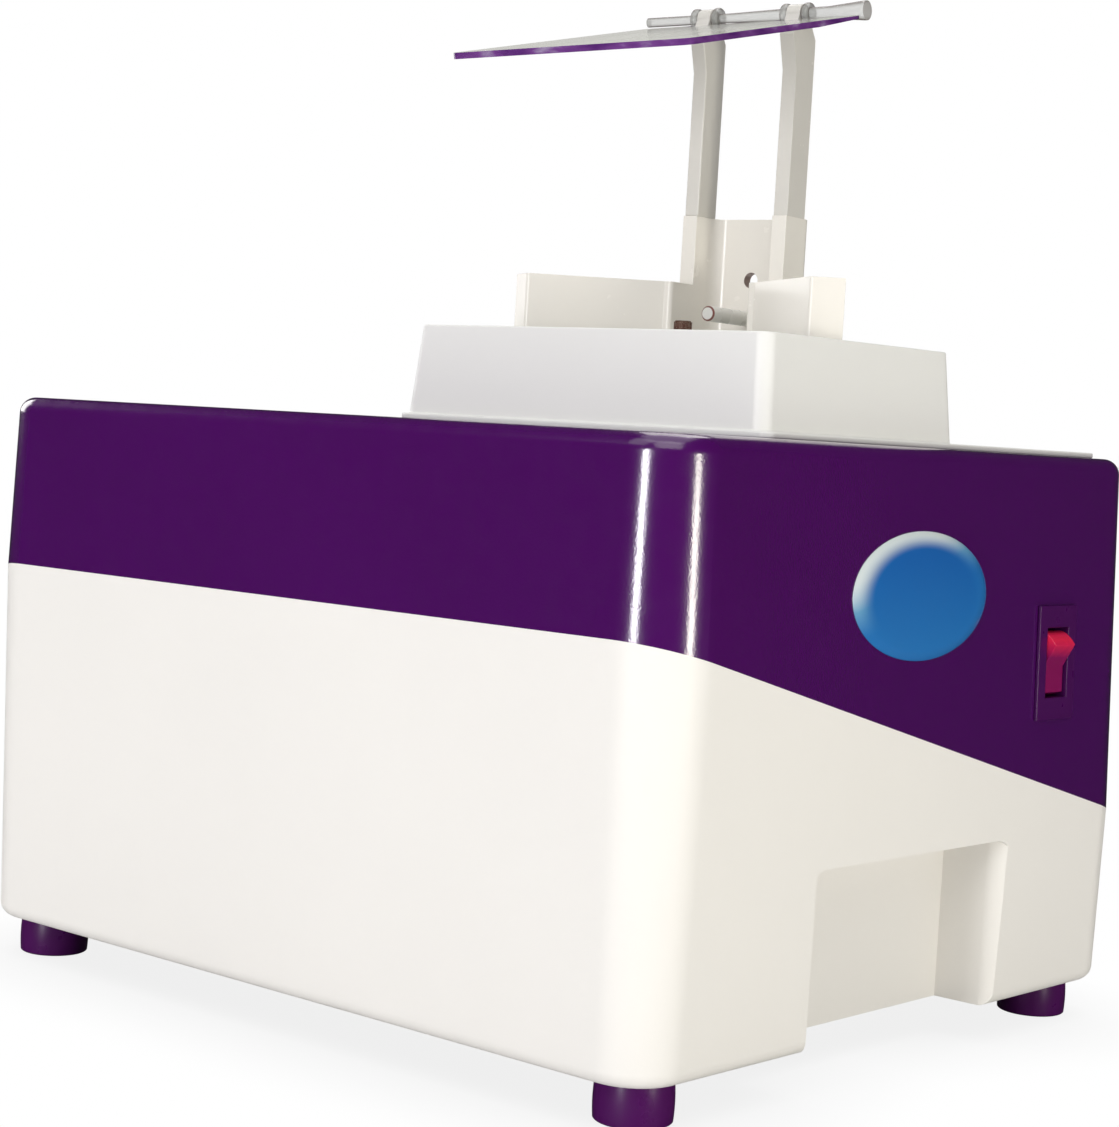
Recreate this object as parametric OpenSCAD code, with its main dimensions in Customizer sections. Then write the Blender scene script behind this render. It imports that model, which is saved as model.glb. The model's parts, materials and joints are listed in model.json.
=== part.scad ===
// Bench-top wet grinder for craft glass: a two-part moulded housing on four rubber feet,
// a lift-off water tray with a work grid, a loose splash guard and a tilting clear eye shield.
// Origin: middle of the footprint, on the plane that the feet stand on.
// +X is the switch side, -Y is the operator's side, +Z is up. Millimetres.

/* [Housing] */
// Width of the housing at the parting line, left to right
body_w = 330; // [310:1:360]
// Depth of the housing at the parting line, front to back
body_d = 287; // [275:1:320]
// Height of the housing from its underside to the deck
body_h = 196; // [180:1:230]
// Radius of the four upright corners
corner_r = 22; // [14:1:30]
// Height of the parting line above the underside, at the front
parting_front_h = 134; // [120:1:150]
// Height of the parting line above the underside, at the back
parting_rear_h = 62; // [55:1:90]
// Draft of the upper housing's sides, degrees
draft_upper = 1.6; // [0.5:0.1:2.5]
// Draft of the lower housing's sides, degrees
draft_lower = 1.3; // [0.5:0.1:2.5]
// Radius round the deck's edge
deck_edge_r = 6; // [3:0.5:8]
// Radius round the bottom edge
bottom_edge_r = 5; // [2:0.5:7]
// Wall of the upper housing
upper_wall = 3; // [2:0.5:4]
// Thickness of the tongue that the lower housing slips inside the upper one
tongue_t = 1.5; // [1:0.1:2]
// Height of the tongue above the parting line
tongue_h = 4; // [2:0.5:8]
// Gap between the tongue and the upper housing
tongue_gap = 0.3; // [0.1:0.1:0.6]
// Thickness of the ledge round the bottom opening
ledge_t = 4; // [2:0.5:6]
// Width of the flat rim round the base plate, from the side
rim_w = 10; // [8:0.5:14]
// Width of the ledge over the base plate
ledge_w = 16; // [14:1:20]

/* [Alcove] */
// Width of the alcove in the right side
alcove_w = 110; // [60:1:130]
// Height of the alcove above the underside
alcove_h = 60; // [40:1:60]
// Depth of the alcove
alcove_d = 24.5; // [12:0.5:30]
// Centre of the alcove, front to back
alcove_y = -1; // [-10:1:10]
// Radius of the alcove's upright mouth edges
alcove_mouth_r = 7; // [2:0.5:9]
// Radius of the alcove's upper corners
alcove_top_r = 10; // [3:1:15]

/* [Cord recess] */
// Width of the recess at the back that the cord leaves from
cord_recess_w = 46; // [40:1:60]
// Height of that recess
cord_recess_h = 42; // [38:1:52]
// Depth of that recess
cord_recess_d = 19; // [18:0.5:24]
// Centre of that recess, left to right
cord_recess_x = -70; // [-90:1:-40]
// Bore of the cord gland
gland_bore_d = 7.2; // [6:0.1:9]
// Thread diameter of the cord gland
gland_thread_d = 16; // [14:0.5:18]
// Diameter of the gland's dome cap
gland_cap_d = 22; // [20:0.5:26]
// Length of the gland's dome cap
gland_cap_l = 14; // [10:0.5:15]
// Radius round the cap's outer edge
gland_edge_r = 3; // [1:0.5:4]
// Length of the gland's thread past the wall
gland_tail_l = 9; // [8:0.5:14]

/* [Base plate] */
// Thickness of the base plate
base_t = 3; // [2:0.5:4]
// Gap round the base plate
base_gap = 0.4; // [0.2:0.1:1]
// Number of cooling slots
slot_count = 7; // [3:1:9]
// Width of a cooling slot
slot_w = 4; // [3:0.5:5]
// Length of a cooling slot
slot_l = 56; // [30:1:70]
// Spacing of the cooling slots
slot_pitch = 10; // [8:0.5:12]

/* [Feet] */
// Diameter of a foot
foot_d = 25.4; // [22:0.1:30]
// Height of a foot
foot_h = 14; // [10:0.5:18]
// Radius round a foot's lower edge
foot_edge_r = 1.5; // [1:0.5:4]
// Radius of a foot's bulged side, seen from the side
foot_bulge_r = 60; // [40:1:120]
// Centre of a foot from the side of the housing
foot_inset_x = 22; // [20:1:26]
// Centre of a foot from the front or back of the housing
foot_inset_y = 24; // [20:1:28]
// Head diameter of the foot screws
foot_head_d = 8; // [6:0.5:9]
// Shank diameter of the foot screws
foot_screw_d = 4; // [3:0.5:4.5]

/* [Housing screws] */
// Centre of a housing screw from the side of the housing
case_screw_inset_x = 19; // [18:1:21]
// Centre of a housing screw from the front or back of the housing
case_screw_inset_y = 42.5; // [42:0.5:43.5]
// Outer diameter of the screw pillars
pillar_d = 13; // [11:0.5:15]
// Shank diameter of the housing screws
case_screw_d = 4; // [3:0.5:5]
// Head diameter of the housing screws
case_head_d = 8; // [7:0.5:9]
// Solid length at a lower pillar's top, which the screw clamps
pillar_top_l = 12; // [8:1:20]
// Length of screw in an upper pillar
case_bite = 16; // [10:1:24]

/* [Badge] */
// Width of the blank oval badge
badge_w = 82; // [60:1:90]
// Height of the badge
badge_h = 43; // [30:1:50]
// Height of the badge's dome
badge_t = 1.8; // [1:0.1:3]
// Centre of the badge, front to back
badge_y = -8.5; // [-20:0.5:10]
// Centre of the badge above the underside
badge_z = 147; // [140:1:155]

/* [Switch] */
// Centre of the switch, front to back
switch_y = 82.4; // [72:0.4:84]
// Centre of the switch above the underside
switch_z = 122; // [116:0.5:130]
// Width of the switch's bezel
bezel_w = 26; // [23:0.5:28]
// Height of the switch's bezel
bezel_h = 41; // [38:0.5:44]
// Thickness of the switch's bezel
bezel_t = 1.2; // [1:0.1:2.5]
// Width of the switch's body behind the bezel
switch_body_w = 20.6; // [18:0.1:21]
// Height of the switch's body
switch_body_h = 36; // [34:0.5:37]
// Depth of the switch's body behind the wall's face
switch_body_d = 26; // [20:1:32]
// Width of the rocker
rocker_w = 14; // [12:0.5:16]
// Height of the rocker
rocker_h = 24; // [20:0.5:27]
// Reach of the rocker's faces from its pivot
rocker_reach = 6; // [5:0.5:8]
// Angle between each half of the rocker and its middle, degrees
rocker_slope = 15; // [10:1:15]
// Gap between rocker and bezel
rocker_gap = 0.6; // [0.4:0.1:1]
// Pivot diameter of the rocker
rocker_pin_d = 3; // [2:0.5:4]

/* [Water tray] */
// Centre of the grinding spindle, left to right
spindle_x = 68; // [60:1:72]
// Centre of the grinding spindle, front to back
spindle_y = -23; // [-30:1:-15]
// Width of the raised tray at the deck
tray_w = 158; // [156:1:164]
// Depth of the raised tray at the deck
tray_d = 113; // [112:1:130]
// Height of the raised tray above the deck
tray_h = 33.5; // [30:0.5:45]
// Draft inset of the tray at its rim
tray_inset = 2.6; // [1:0.1:5]
// Radius of the tray's upright corners
tray_corner_r = 5; // [3:0.5:9]
// Wall of the tray
tray_wall = 3; // [2:0.5:4]
// Thickness of the tray's rim
rim_t = 2; // [1.5:0.1:2.5]
// Thickness of the tray's base flange
flange_t = 2; // [1.5:0.1:3]
// Width of the flange past the tray's right side
flange_w = 3; // [1:0.5:3]
// Back edge of the flange from the back of the housing
flange_back = 15; // [12:1:30]
// Bore of the standpipe round the spindle
pipe_bore_d = 20; // [17:0.5:24]
// Wall of the standpipe
pipe_wall = 2.5; // [2:0.1:4]
// Gap from the standpipe's top to the grid
pipe_drop = 3; // [2:0.5:6]

/* [Work grid] */
// Thickness of the work grid
grid_t = 3; // [2.5:0.5:5]
// Gap round the grid
grid_gap = 0.5; // [0.3:0.1:1]
// Width of the ledge that carries the grid
grid_ledge = 3; // [2:0.5:4]
// Spacing of the grid's holes
grid_pitch = 12; // [10:0.5:16]
// Side of the grid's square holes
grid_hole = 8.5; // [6:0.5:9]
// Bore of the grid round the bit
grid_bore_d = 24; // [22:1:30]

/* [Splash guard] */
// How far the loose guard stands turned on the grid, degrees
guard_turn = 6.2; // [0:0.1:8]
// From the spindle back to the guard's back plate
guard_back = 44.7; // [43:0.1:45]
// Clear width of the throat
throat_w = 31.4; // [28:0.2:34]
// Thickness of the back plate
plate_t = 4.5; // [4:0.1:5]
// Height of the back plate and its flanges
guard_h = 46; // [42:0.5:60]
// Thickness of the flanges
guard_flange_t = 5.8; // [5.8:0.1:7]
// Reach of the flanges in front of the back plate
guard_flange_l = 14.4; // [14:0.1:18]
// Radius inside and outside the channel's rear corners
channel_r = 5; // [2:0.5:5.5]
// Thickness of the throat's cheeks
cheek_t = 5; // [4:0.1:5.8]
// Reach of the cheeks in front of the back plate
cheek_l = 28.8; // [24:0.2:29]
// Height of the cheeks and wings
wing_h = 21; // [16:0.5:22]
// Length of a wing
wing_l = 49; // [35:0.5:50]
// Angle of a wing towards the operator, degrees
wing_angle = 37.8; // [32:0.1:40]
// Thickness of a wing
wing_t = 3; // [2:0.1:4]
// Length of the bent-back end of a wing
return_l = 10.6; // [6:0.2:12]
// Angle of the bent-back end, degrees
return_angle = 36; // [20:1:45]

/* [Peg] */
// Diameter of the sponge peg
peg_d = 5.5; // [4:0.1:6]
// Height of the peg above the grid
peg_z = 9.8; // [8:0.1:11]
// Height of the spare peg hole above the grid
spare_hole_z = 23.9; // [23:0.1:30]
// Clearance of the pegs in their holes
peg_gap = 0.05; // [0.02:0.01:0.1]

/* [Arms] */
// Width of an arm
arm_w = 5.6; // [5:0.1:5.8]
// Depth of an arm, front to back
arm_d = 12.6; // [11:0.1:13]
// Distance of an arm's back face from the back plate
arm_back = 1.1; // [0.8:0.1:1.4]
// Height of the shield rod above the guard's top
rod_rise = 71.5; // [60:0.1:90]
// Distance of the shield rod in front of the back plate
rod_front = 10.2; // [9:0.1:11]
// Radius of the eye at an arm's top
eye_r = 3.5; // [3.3:0.1:4.2]
// How far an arm's head leans past its front face
head_lean = 3.5; // [2:0.5:5]
// Where an arm's head starts to lean, below the rod
head_l = 20; // [16:1:28]
// Where an arm's head starts to narrow, below the rod
head_taper_l = 8; // [7:0.5:10]
// Width of the tongues that plug the arms into the guard
tenon_w = 3; // [2.5:0.1:3.4]
// Depth of those tongues
tenon_d = 8; // [6:0.5:9]
// Length of those tongues
tenon_l = 16; // [10:1:18]
// Gap round the tongues
tenon_gap = 0.15; // [0.1:0.05:0.25]

/* [Eye shield] */
// Width of the clear plate
shield_w = 93.4; // [86:0.1:110]
// Length of the clear plate
shield_l = 121.4; // [90:0.1:125]
// Thickness of the clear plate
shield_t = 2.1; // [2:0.1:4]
// Thickness of the plate at the rod
shield_rear_t = 1.2; // [1:0.1:1.6]
// Distance from the rod at which the plate starts to get thinner
shield_taper_l = 38; // [20:1:50]
// Slope of the plate at rest, degrees
shield_slope = 13.3; // [5:0.1:25]
// Rise of the plate towards the rod's thick end, degrees
shield_roll = 0.5; // [0:0.1:1]
// How much further the rod and plate reach on the right than on the left
shield_shift = 1; // [0:0.1:2]
// Radius of the plate's corners
shield_corner_r = 4; // [2:0.5:8]
// Radius of the plate's corner beside the rod's flared head
head_corner_r = 12; // [8:0.5:14]
// Length of the notches past the arms' eyes
notch_reach = 4.3; // [4:0.1:6]
// Diameter of the shield rod in the left arm
rod_d = 3.4; // [3:0.1:3.6]
// Diameter of the shield rod in the right arm
rod_root_d = 4.4; // [3.8:0.1:4.6]
// Length of the rod's taper, between the arms
rod_taper_l = 20; // [10:1:22]
// Length of the shield rod
rod_l = 90.6; // [88:0.1:100]
// Diameter of the rod's flared head
rod_head_d = 6.8; // [6:0.1:8]
// Length of the rod's flare
rod_flare_l = 14; // [8:0.5:16]
// Running clearance of the rod in the arms
rod_gap = 0.08; // [0.04:0.01:0.1]
// Diameter of the collars beside the arms
collar_d = 7.8; // [6:0.1:9]
// Thickness of a collar
collar_t = 2.6; // [2:0.1:3]
// Radius round a collar's edges
collar_edge_r = 0.9; // [0.5:0.1:0.9]
// Side play of the collars at the arms
collar_gap = 0.3; // [0.2:0.05:0.5]

/* [Spindle and motor] */
// Height of the bit's tip above the grid
bit_rise = 6; // [4:0.5:12]
// Diameter of the slim grinding bit
bit_d = 6.4; // [5:0.1:8]
// Diameter of the bit holder
holder_d = 14; // [12:0.5:15]
// Length of the bit holder
holder_l = 15; // [12:1:18]
// Diameter of the shaft's end that takes the holder
shaft_end_d = 7.94; // [6:0.01:8]
// Diameter of the shaft in its bearings
shaft_d = 10; // [9:0.5:11]
// Outer diameter of the bearings
bearing_d = 26; // [24:0.5:28]
// Width of the bearings
bearing_w = 8; // [7:0.5:9]
// Running clearance of the shaft in the bearings
bearing_gap = 0.03; // [0.01:0.01:0.08]
// Outer diameter of the motor
motor_d = 92; // [88:1:96]
// Height of the motor's can
can_h = 70; // [60:1:76]
// Wall of the motor's can
can_wall = 2.5; // [2:0.5:4]
// Height of each end bell
bell_h = 12; // [11:0.5:16]
// Diameter of the pilot boss on the top bell
pilot_d = 40; // [34:1:42]
// Height of the pilot boss
pilot_h = 10; // [9:0.5:10]
// Diameter of the rotor
rotor_d = 50; // [44:1:54]
// Air gap between rotor and stator
air_gap = 0.5; // [0.3:0.1:0.8]
// Height of the stator's iron
stator_h = 42; // [34:1:46]
// Number of stator slots
stator_slots = 12; // [8:2:16]
// Diameter of a stator slot
stator_slot_d = 5; // [4:0.5:6]
// Centre of the motor's through bolts from its outside
motor_bolt_inset = 6; // [5.5:0.5:6.5]
// Diameter of the motor's through bolts
motor_bolt_d = 4; // [3:0.5:4]
// Side of the square motor plate
motor_plate_w = 108; // [104:1:116]
// Thickness of the motor plate
motor_plate_t = 3; // [2:0.5:5]
// Centre of a motor plate screw from the spindle, each way
plate_screw_xy = 43; // [41:1:45]
// Diameter of the motor plate screws
plate_screw_d = 4; // [3:0.5:5]
// Height of the bosses under the deck
deck_boss_h = 8; // [7:0.5:12]
// Diameter of the bosses under the deck
deck_boss_d = 11; // [10:0.5:14]
// Gap round the pilot boss in the deck
deck_hole_gap = 4; // [2:0.5:6]
// Head diameter of the motor's through bolts
bolt_head_d = 7.5; // [6:0.5:8]
// Diameter of the cooling fan
fan_d = 76; // [60:1:84]
// Number of fan blades
fan_blades = 8; // [5:1:11]
// Height of the fan blades
fan_h = 12; // [8:1:14]

/* [Hidden] */
$fn = 64;

hull_fn = 48;
e = 0.01;
purple = [0.27, 0.07, 0.34];
white = [0.93, 0.92, 0.88];
steel = [0.72, 0.73, 0.75];
clear = [0.8, 0.85, 0.85, 0.35];

// The rocker stands proud on the right, so the housing's middle lies left of the origin
housing_x = -1.5;

// The grid's face lies just above the tray's rim, so the guard clears the rim
grid_proud = 0.1;

// Heights
under_z = foot_h;
deck_z = under_z + body_h;
deck_in_z = deck_z - upper_wall;
tray_top_z = deck_z + tray_h;
grid_top_z = tray_top_z + grid_proud;
grid_low_z = grid_top_z - grid_t;
guard_top_z = grid_top_z + guard_h;
rod_z = guard_top_z + rod_rise;

// The parting plane falls from front to back
parting_mid_z = under_z + (parting_front_h + parting_rear_h) / 2;
parting_slope = (parting_rear_h - parting_front_h) / body_d;
parting_tilt = atan(parting_slope);
lower_wall = upper_wall + tongue_gap + tongue_t;
corner_x = body_w / 2 - corner_r;
corner_y = body_d / 2 - corner_r;
CORNERS = [[-1, -1], [1, -1], [1, 1], [-1, 1]];

function parting_z(y) = parting_mid_z + parting_slope * y;
function top_inset(y) = tan(draft_upper) * (deck_z - parting_z(y));
function bottom_inset(y) = tan(draft_lower) * (parting_z(y) - under_z);
function upper_face_x(y, z) = body_w / 2 - tan(draft_upper) * (z - parting_z(y));

// Guard and motor places
guard_front = guard_back - guard_flange_l;
cheek_front = guard_back - cheek_l;
flange_x = throat_w / 2 + guard_flange_t / 2;
arm_front = guard_back - arm_back - arm_d;
tenon_y = guard_back - arm_back - arm_d / 2;
rod_y = guard_back - rod_front;
plate_top_z = deck_in_z - deck_boss_h;
bell_top_z = plate_top_z - motor_plate_t;
motor_bolt_r = motor_d / 2 - motor_bolt_inset;
can_top_z = bell_top_z - bell_h;
can_low_z = can_top_z - can_h;
bell_low_z = can_low_z - bell_h;
core_mid_z = (can_top_z + can_low_z) / 2;
pilot_top_z = bell_top_z + pilot_h;
bit_top_z = grid_top_z + bit_rise;
holder_top_z = grid_low_z - 0.5;
holder_low_z = holder_top_z - holder_l;
shank_l = 5;
shank_d = bit_d - 1.4;
set_screw_d = 3;
set_screw_z = 4;
shoulder_d = shaft_d + 4;
bell_wall = 6;
bearing_seat = 1.5;
bearing_lip = 3;
seat_gap = 0.02;
cheek_edge_r = 1.6;

// Places a piece on the upper housing's right side: X runs back, Y up, Z out
module on_right_side(y, z) {
    translate([upper_face_x(y, z), y, z])
        rotate([0, 0, atan(-tan(draft_upper) * parting_slope)])
            rotate([0, -draft_upper, 0])
                rotate([90, 0, 90])
                    children();
}

// One thin slice of the housing along the parting plane, drawn in by g and raised by lift
module parting_slice(g, lift) {
    translate([0, 0, parting_mid_z + lift])
        rotate([parting_tilt, 0, 0])
            scale([1, 1 / cos(parting_tilt), 1])
                for (c = CORNERS)
                    translate([c[0] * corner_x, c[1] * corner_y, 0])
                        cylinder(r = corner_r - g, h = e, $fn = hull_fn);
}

module round_slice(z, g, edge_r, upper) {
    for (c = CORNERS) {
        inset = upper ? top_inset(c[1] * body_d / 2) : bottom_inset(c[1] * body_d / 2);
        translate([c[0] * corner_x, c[1] * corner_y, z])
            rotate_extrude($fn = hull_fn)
                translate([corner_r - inset - g - edge_r, 0])
                    circle(r = edge_r, $fn = hull_fn);
    }
}

module flat_slice(z, g, upper) {
    for (c = CORNERS) {
        inset = upper ? top_inset(c[1] * body_d / 2) : bottom_inset(c[1] * body_d / 2);
        translate([c[0] * corner_x, c[1] * corner_y, z])
            cylinder(r = corner_r - inset - g, h = e, $fn = hull_fn);
    }
}

module upper_skin() {
    hull() {
        parting_slice(0, 0);
        round_slice(deck_z - deck_edge_r, 0, deck_edge_r, true);
    }
}

module lower_skin() {
    hull() {
        parting_slice(0, -e / cos(parting_tilt));
        round_slice(under_z + bottom_edge_r, 0, bottom_edge_r, false);
    }
}

module upper_hollow(g) {
    hull() {
        parting_slice(upper_wall + g, -2);
        flat_slice(deck_in_z - e, upper_wall + g, true);
    }
}

module lower_hollow() {
    hull() {
        parting_slice(lower_wall, tongue_h + 2);
        flat_slice(under_z + base_t + ledge_t, lower_wall, false);
    }
}

// Tongue of the lower housing, standing inside the upper one
module tongue() {
    intersection() {
        upper_hollow(tongue_gap);
        translate([0, 0, parting_mid_z])
            rotate([parting_tilt, 0, 0])
                translate([-body_w, -body_d, -1])
                    cube([2 * body_w, 2 * body_d, tongue_h + 1]);
    }
}

// Plan of a recess that opens at a side: mouth on the X axis, depth along -Y
module recess_plan(w, d, mouth_r) {
    translate([-w / 2, -d])
        square([w, d + 10]);
    for (s = [-1, 1])
        difference() {
            translate([s > 0 ? w / 2 - e : -w / 2 - mouth_r + e, -mouth_r])
                square([mouth_r, mouth_r + 10]);
            translate([s * (w / 2 + mouth_r), -mouth_r])
                circle(r = mouth_r);
            translate([s > 0 ? w / 2 + mouth_r - e : -w / 2 - mouth_r - 1, -mouth_r - 1])
                square([1, mouth_r + 12]);
        }
}

// Recess cut: plan by height, with rounded upper corners
module recess_cut(w, d, h, mouth_r, top_r) {
    translate([0, 0, under_z - 1])
        linear_extrude(h + 1 - top_r)
            recess_plan(w, d, mouth_r);
    intersection() {
        translate([0, 0, under_z + h - top_r - e])
            linear_extrude(top_r + e)
                recess_plan(w, d, mouth_r);
        union() {
            for (s = [-1, 1])
                translate([s * (w / 2 + mouth_r - top_r), 20, under_z + h - top_r])
                    rotate([90, 0, 0])
                        cylinder(r = top_r, h = d + 40);
            translate([-(w / 2 + mouth_r - top_r), -d - 10, under_z + h - top_r - e])
                cube([w + 2 * (mouth_r - top_r), d + 40, top_r + e]);
        }
    }
}

// Solid block that the recess is cut from
module recess_block(w, d, h, mouth_r) {
    translate([-w / 2 - mouth_r - upper_wall, -d - upper_wall, under_z + base_t])
        cube([w + 2 * (mouth_r + upper_wall), d + upper_wall, h + upper_wall - base_t]);
}

module in_housing() {
    translate([housing_x, 0, 0])
        children();
}

module at_alcove() {
    translate([body_w / 2, alcove_y, 0])
        rotate([0, 0, -90])
            children();
}

module at_cord_recess() {
    translate([cord_recess_x, body_d / 2, 0])
        children();
}

module each_corner(x, y) {
    for (c = CORNERS)
        translate([c[0] * x, c[1] * y, 0])
            children();
}

// Fixings and fits
foot_x = body_w / 2 - foot_inset_x;
foot_y = body_d / 2 - foot_inset_y;
pillar_x = body_w / 2 - case_screw_inset_x;
case_screw_y = body_d / 2 - case_screw_inset_y;
foot_boss_h = 18;
foot_boss_d = 14;
foot_head_h = 3;
foot_recess_h = 4.5;
cord_mouth_r = 3;
gland_z = under_z + 20;
base_corner_r = 12;
rib_t = 2;
rib_reach = 30;
screw_gap = 0.05;
pilot_gap = 0.1;
pan_head_h = 3;
switch_hole_l = 15;

module upper_housing() {
    color(purple)
        in_housing() difference() {
            union() {
                difference() {
                    upper_skin();
                    upper_hollow(0);
                }
                for (sy = [-1, 1]) {
                    low = parting_z(sy * case_screw_y);
                    for (sx = [-1, 1])
                        translate([sx * pillar_x, sy * case_screw_y, low])
                            cylinder(d = pillar_d, h = deck_in_z - low + 1);
                }
                intersection() {
                    upper_skin();
                    for (sy = [-1, 1])
                        side_ribs(sy, parting_z(sy * case_screw_y) + tongue_h + 4, deck_in_z + 1);
                }
                translate([spindle_x, spindle_y, plate_top_z])
                    each_corner(plate_screw_xy, plate_screw_xy)
                        cylinder(d = deck_boss_d, h = deck_boss_h + 1);
            }
            for (sy = [-1, 1])
                for (sx = [-1, 1])
                    translate([sx * pillar_x, sy * case_screw_y, parting_z(sy * case_screw_y) - 1])
                        cylinder(d = case_screw_d + 2 * screw_gap, h = case_bite + 3);
            translate([spindle_x, spindle_y, plate_top_z - 1])
                each_corner(plate_screw_xy, plate_screw_xy)
                    cylinder(d = plate_screw_d + 2 * screw_gap, h = deck_boss_h);
            translate([spindle_x, spindle_y, deck_in_z - 1])
                cylinder(d = pilot_d + 2 * deck_hole_gap, h = upper_wall + 2);
            on_right_side(switch_y, under_z + switch_z)
                translate([0, 0, -switch_hole_l])
                    linear_extrude(switch_hole_l + upper_wall)
                        square([switch_body_w + 2 * pilot_gap, switch_body_h + 2 * pilot_gap], center = true);
        }
}

module lower_housing() {
    color(white)
        in_housing() difference() {
            union() {
                difference() {
                    union() {
                        lower_skin();
                        tongue();
                    }
                    lower_hollow();
                }
                intersection() {
                    lower_skin();
                    union() {
                        at_alcove()
                            recess_block(alcove_w, alcove_d, alcove_h, alcove_mouth_r);
                        at_cord_recess()
                            recess_block(cord_recess_w, cord_recess_d, cord_recess_h, cord_mouth_r);
                    }
                }
                for (sy = [-1, 1])
                    for (sx = [-1, 1])
                        translate([sx * pillar_x, sy * case_screw_y, under_z + base_t])
                            cylinder(d = pillar_d, h = parting_z(sy * case_screw_y) - under_z - base_t);
                intersection() {
                    lower_skin();
                    for (sy = [-1, 1])
                        side_ribs(sy, under_z + base_t, parting_z(sy * case_screw_y) - 4);
                }
                translate([0, 0, under_z + base_t])
                    each_corner(foot_x, foot_y)
                        cylinder(d = foot_boss_d, h = foot_boss_h);
            }
            translate([0, 0, under_z - 1])
                base_outline(0, base_t + 1);
            translate([0, 0, under_z - 1])
                base_outline(ledge_w, base_t + ledge_t + 2);
            at_alcove()
                recess_cut(alcove_w, alcove_d, alcove_h, alcove_mouth_r, alcove_top_r);
            at_cord_recess()
                recess_cut(cord_recess_w, cord_recess_d, cord_recess_h, cord_mouth_r, cord_mouth_r);
            at_cord_recess()
                translate([0, -cord_recess_d + 1, gland_z])
                    rotate([90, 0, 0])
                        cylinder(d = gland_thread_d + 2 * pilot_gap, h = upper_wall + 2);
            for (sy = [-1, 1])
                for (sx = [-1, 1])
                    translate([sx * pillar_x, sy * case_screw_y, 0]) {
                        top = parting_z(sy * case_screw_y);
                        translate([0, 0, top - pillar_top_l - 1])
                            cylinder(d = case_screw_d + 2 * screw_gap, h = pillar_top_l + 3);
                        translate([0, 0, under_z])
                            cylinder(d = case_head_d + 1, h = top - pillar_top_l - under_z);
                    }
            translate([0, 0, under_z])
                each_corner(foot_x, foot_y)
                    cylinder(d = foot_screw_d + 2 * screw_gap, h = foot_boss_h);
        }
}

// Ribs that tie the screw pillars at one end of the housing to its side walls
module side_ribs(sy, low, high) {
    for (sx = [-1, 1])
        translate([sx > 0 ? pillar_x : -pillar_x - rib_reach, sy * case_screw_y - rib_t / 2, low])
            cube([rib_reach, rib_t, high - low]);
}

// Outline of the base plate's recess, drawn in by g, with the alcove and cord recess left out
module base_outline(g, h) {
    x = body_w / 2 - rim_w - g;
    y = body_d / 2 - rim_w - g;
    r = base_corner_r;
    block_w = alcove_w + 2 * (alcove_mouth_r + upper_wall + g);
    block_d = alcove_d + upper_wall + g;
    cord_w = cord_recess_w + 2 * (cord_mouth_r + upper_wall + g);
    cord_d = cord_recess_d + upper_wall + g;
    linear_extrude(h)
        difference() {
            union() {
                square([2 * x, 2 * (y - r)], center = true);
                square([2 * (x - r), 2 * y], center = true);
                for (c = CORNERS)
                    translate([c[0] * (x - r), c[1] * (y - r)])
                        circle(r = r);
            }
            translate([body_w / 2 - block_d, alcove_y - block_w / 2])
                square([block_d + 1, block_w]);
            translate([cord_recess_x - cord_w / 2, body_d / 2 - cord_d])
                square([cord_w, cord_d + 1]);
        }
}

module base_plate() {
    color(steel)
        in_housing() difference() {
            translate([0, 0, under_z])
                base_outline(base_gap, base_t);
            translate([0, 0, under_z - 1]) {
                each_corner(foot_x, foot_y)
                    cylinder(d = foot_screw_d + 2 * screw_gap, h = base_t + 2);
                each_corner(pillar_x, case_screw_y)
                    cylinder(d = case_head_d + 1, h = base_t + 2);
            }
            for (i = [0 : slot_count - 1])
                translate([spindle_x + (i - (slot_count - 1) / 2) * slot_pitch, spindle_y, under_z - 1])
                    linear_extrude(base_t + 2) {
                        square([slot_w, slot_l - slot_w], center = true);
                        for (s = [-1, 1])
                            translate([0, s * (slot_l - slot_w) / 2])
                                circle(d = slot_w, $fn = 24);
                    }
        }
}

// A rubber foot: round, bulged, with a soft lower edge and a stepped hole for its sunk screw
module foot(c) {
    r = foot_d / 2;
    hole_r = foot_screw_d / 2 + screw_gap;
    head_r = foot_head_d / 2 + 0.5;
    color(purple)
        in_housing() translate([c[0] * foot_x, c[1] * foot_y, 0])
            rotate_extrude()
                intersection() {
                    union() {
                        translate([hole_r, foot_recess_h])
                            square([r - hole_r, foot_h - foot_recess_h]);
                        translate([head_r, foot_edge_r])
                            square([r - head_r, foot_h - foot_edge_r]);
                        translate([head_r, 0])
                            square([r - foot_edge_r - head_r, foot_h]);
                        translate([r - foot_edge_r, foot_edge_r])
                            circle(r = foot_edge_r);
                    }
                    translate([r - foot_bulge_r, foot_h * 0.45])
                        circle(r = foot_bulge_r, $fn = 160);
                }
}

module foot_front_left() { foot(CORNERS[0]); }
module foot_front_right() { foot(CORNERS[1]); }
module foot_rear_right() { foot(CORNERS[2]); }
module foot_rear_left() { foot(CORNERS[3]); }

// Pan-head screw, head down, its head's upper face at z = 0
module screw_up(d, head_d, head_h, l) {
    difference() {
        union() {
            translate([0, 0, -head_h])
                cylinder(d = head_d, h = head_h);
            cylinder(d = d, h = l);
        }
        for (a = [0, 90])
            rotate([0, 0, a])
                translate([-head_d / 3, -0.5, -head_h - 1])
                    cube([2 * head_d / 3, 1, 2.2]);
    }
}

module foot_screws() {
    color(steel)
        in_housing() translate([0, 0, foot_recess_h])
            each_corner(foot_x, foot_y)
                screw_up(foot_screw_d, foot_head_d, foot_head_h, foot_h - foot_recess_h + foot_boss_h - 2);
}

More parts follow.
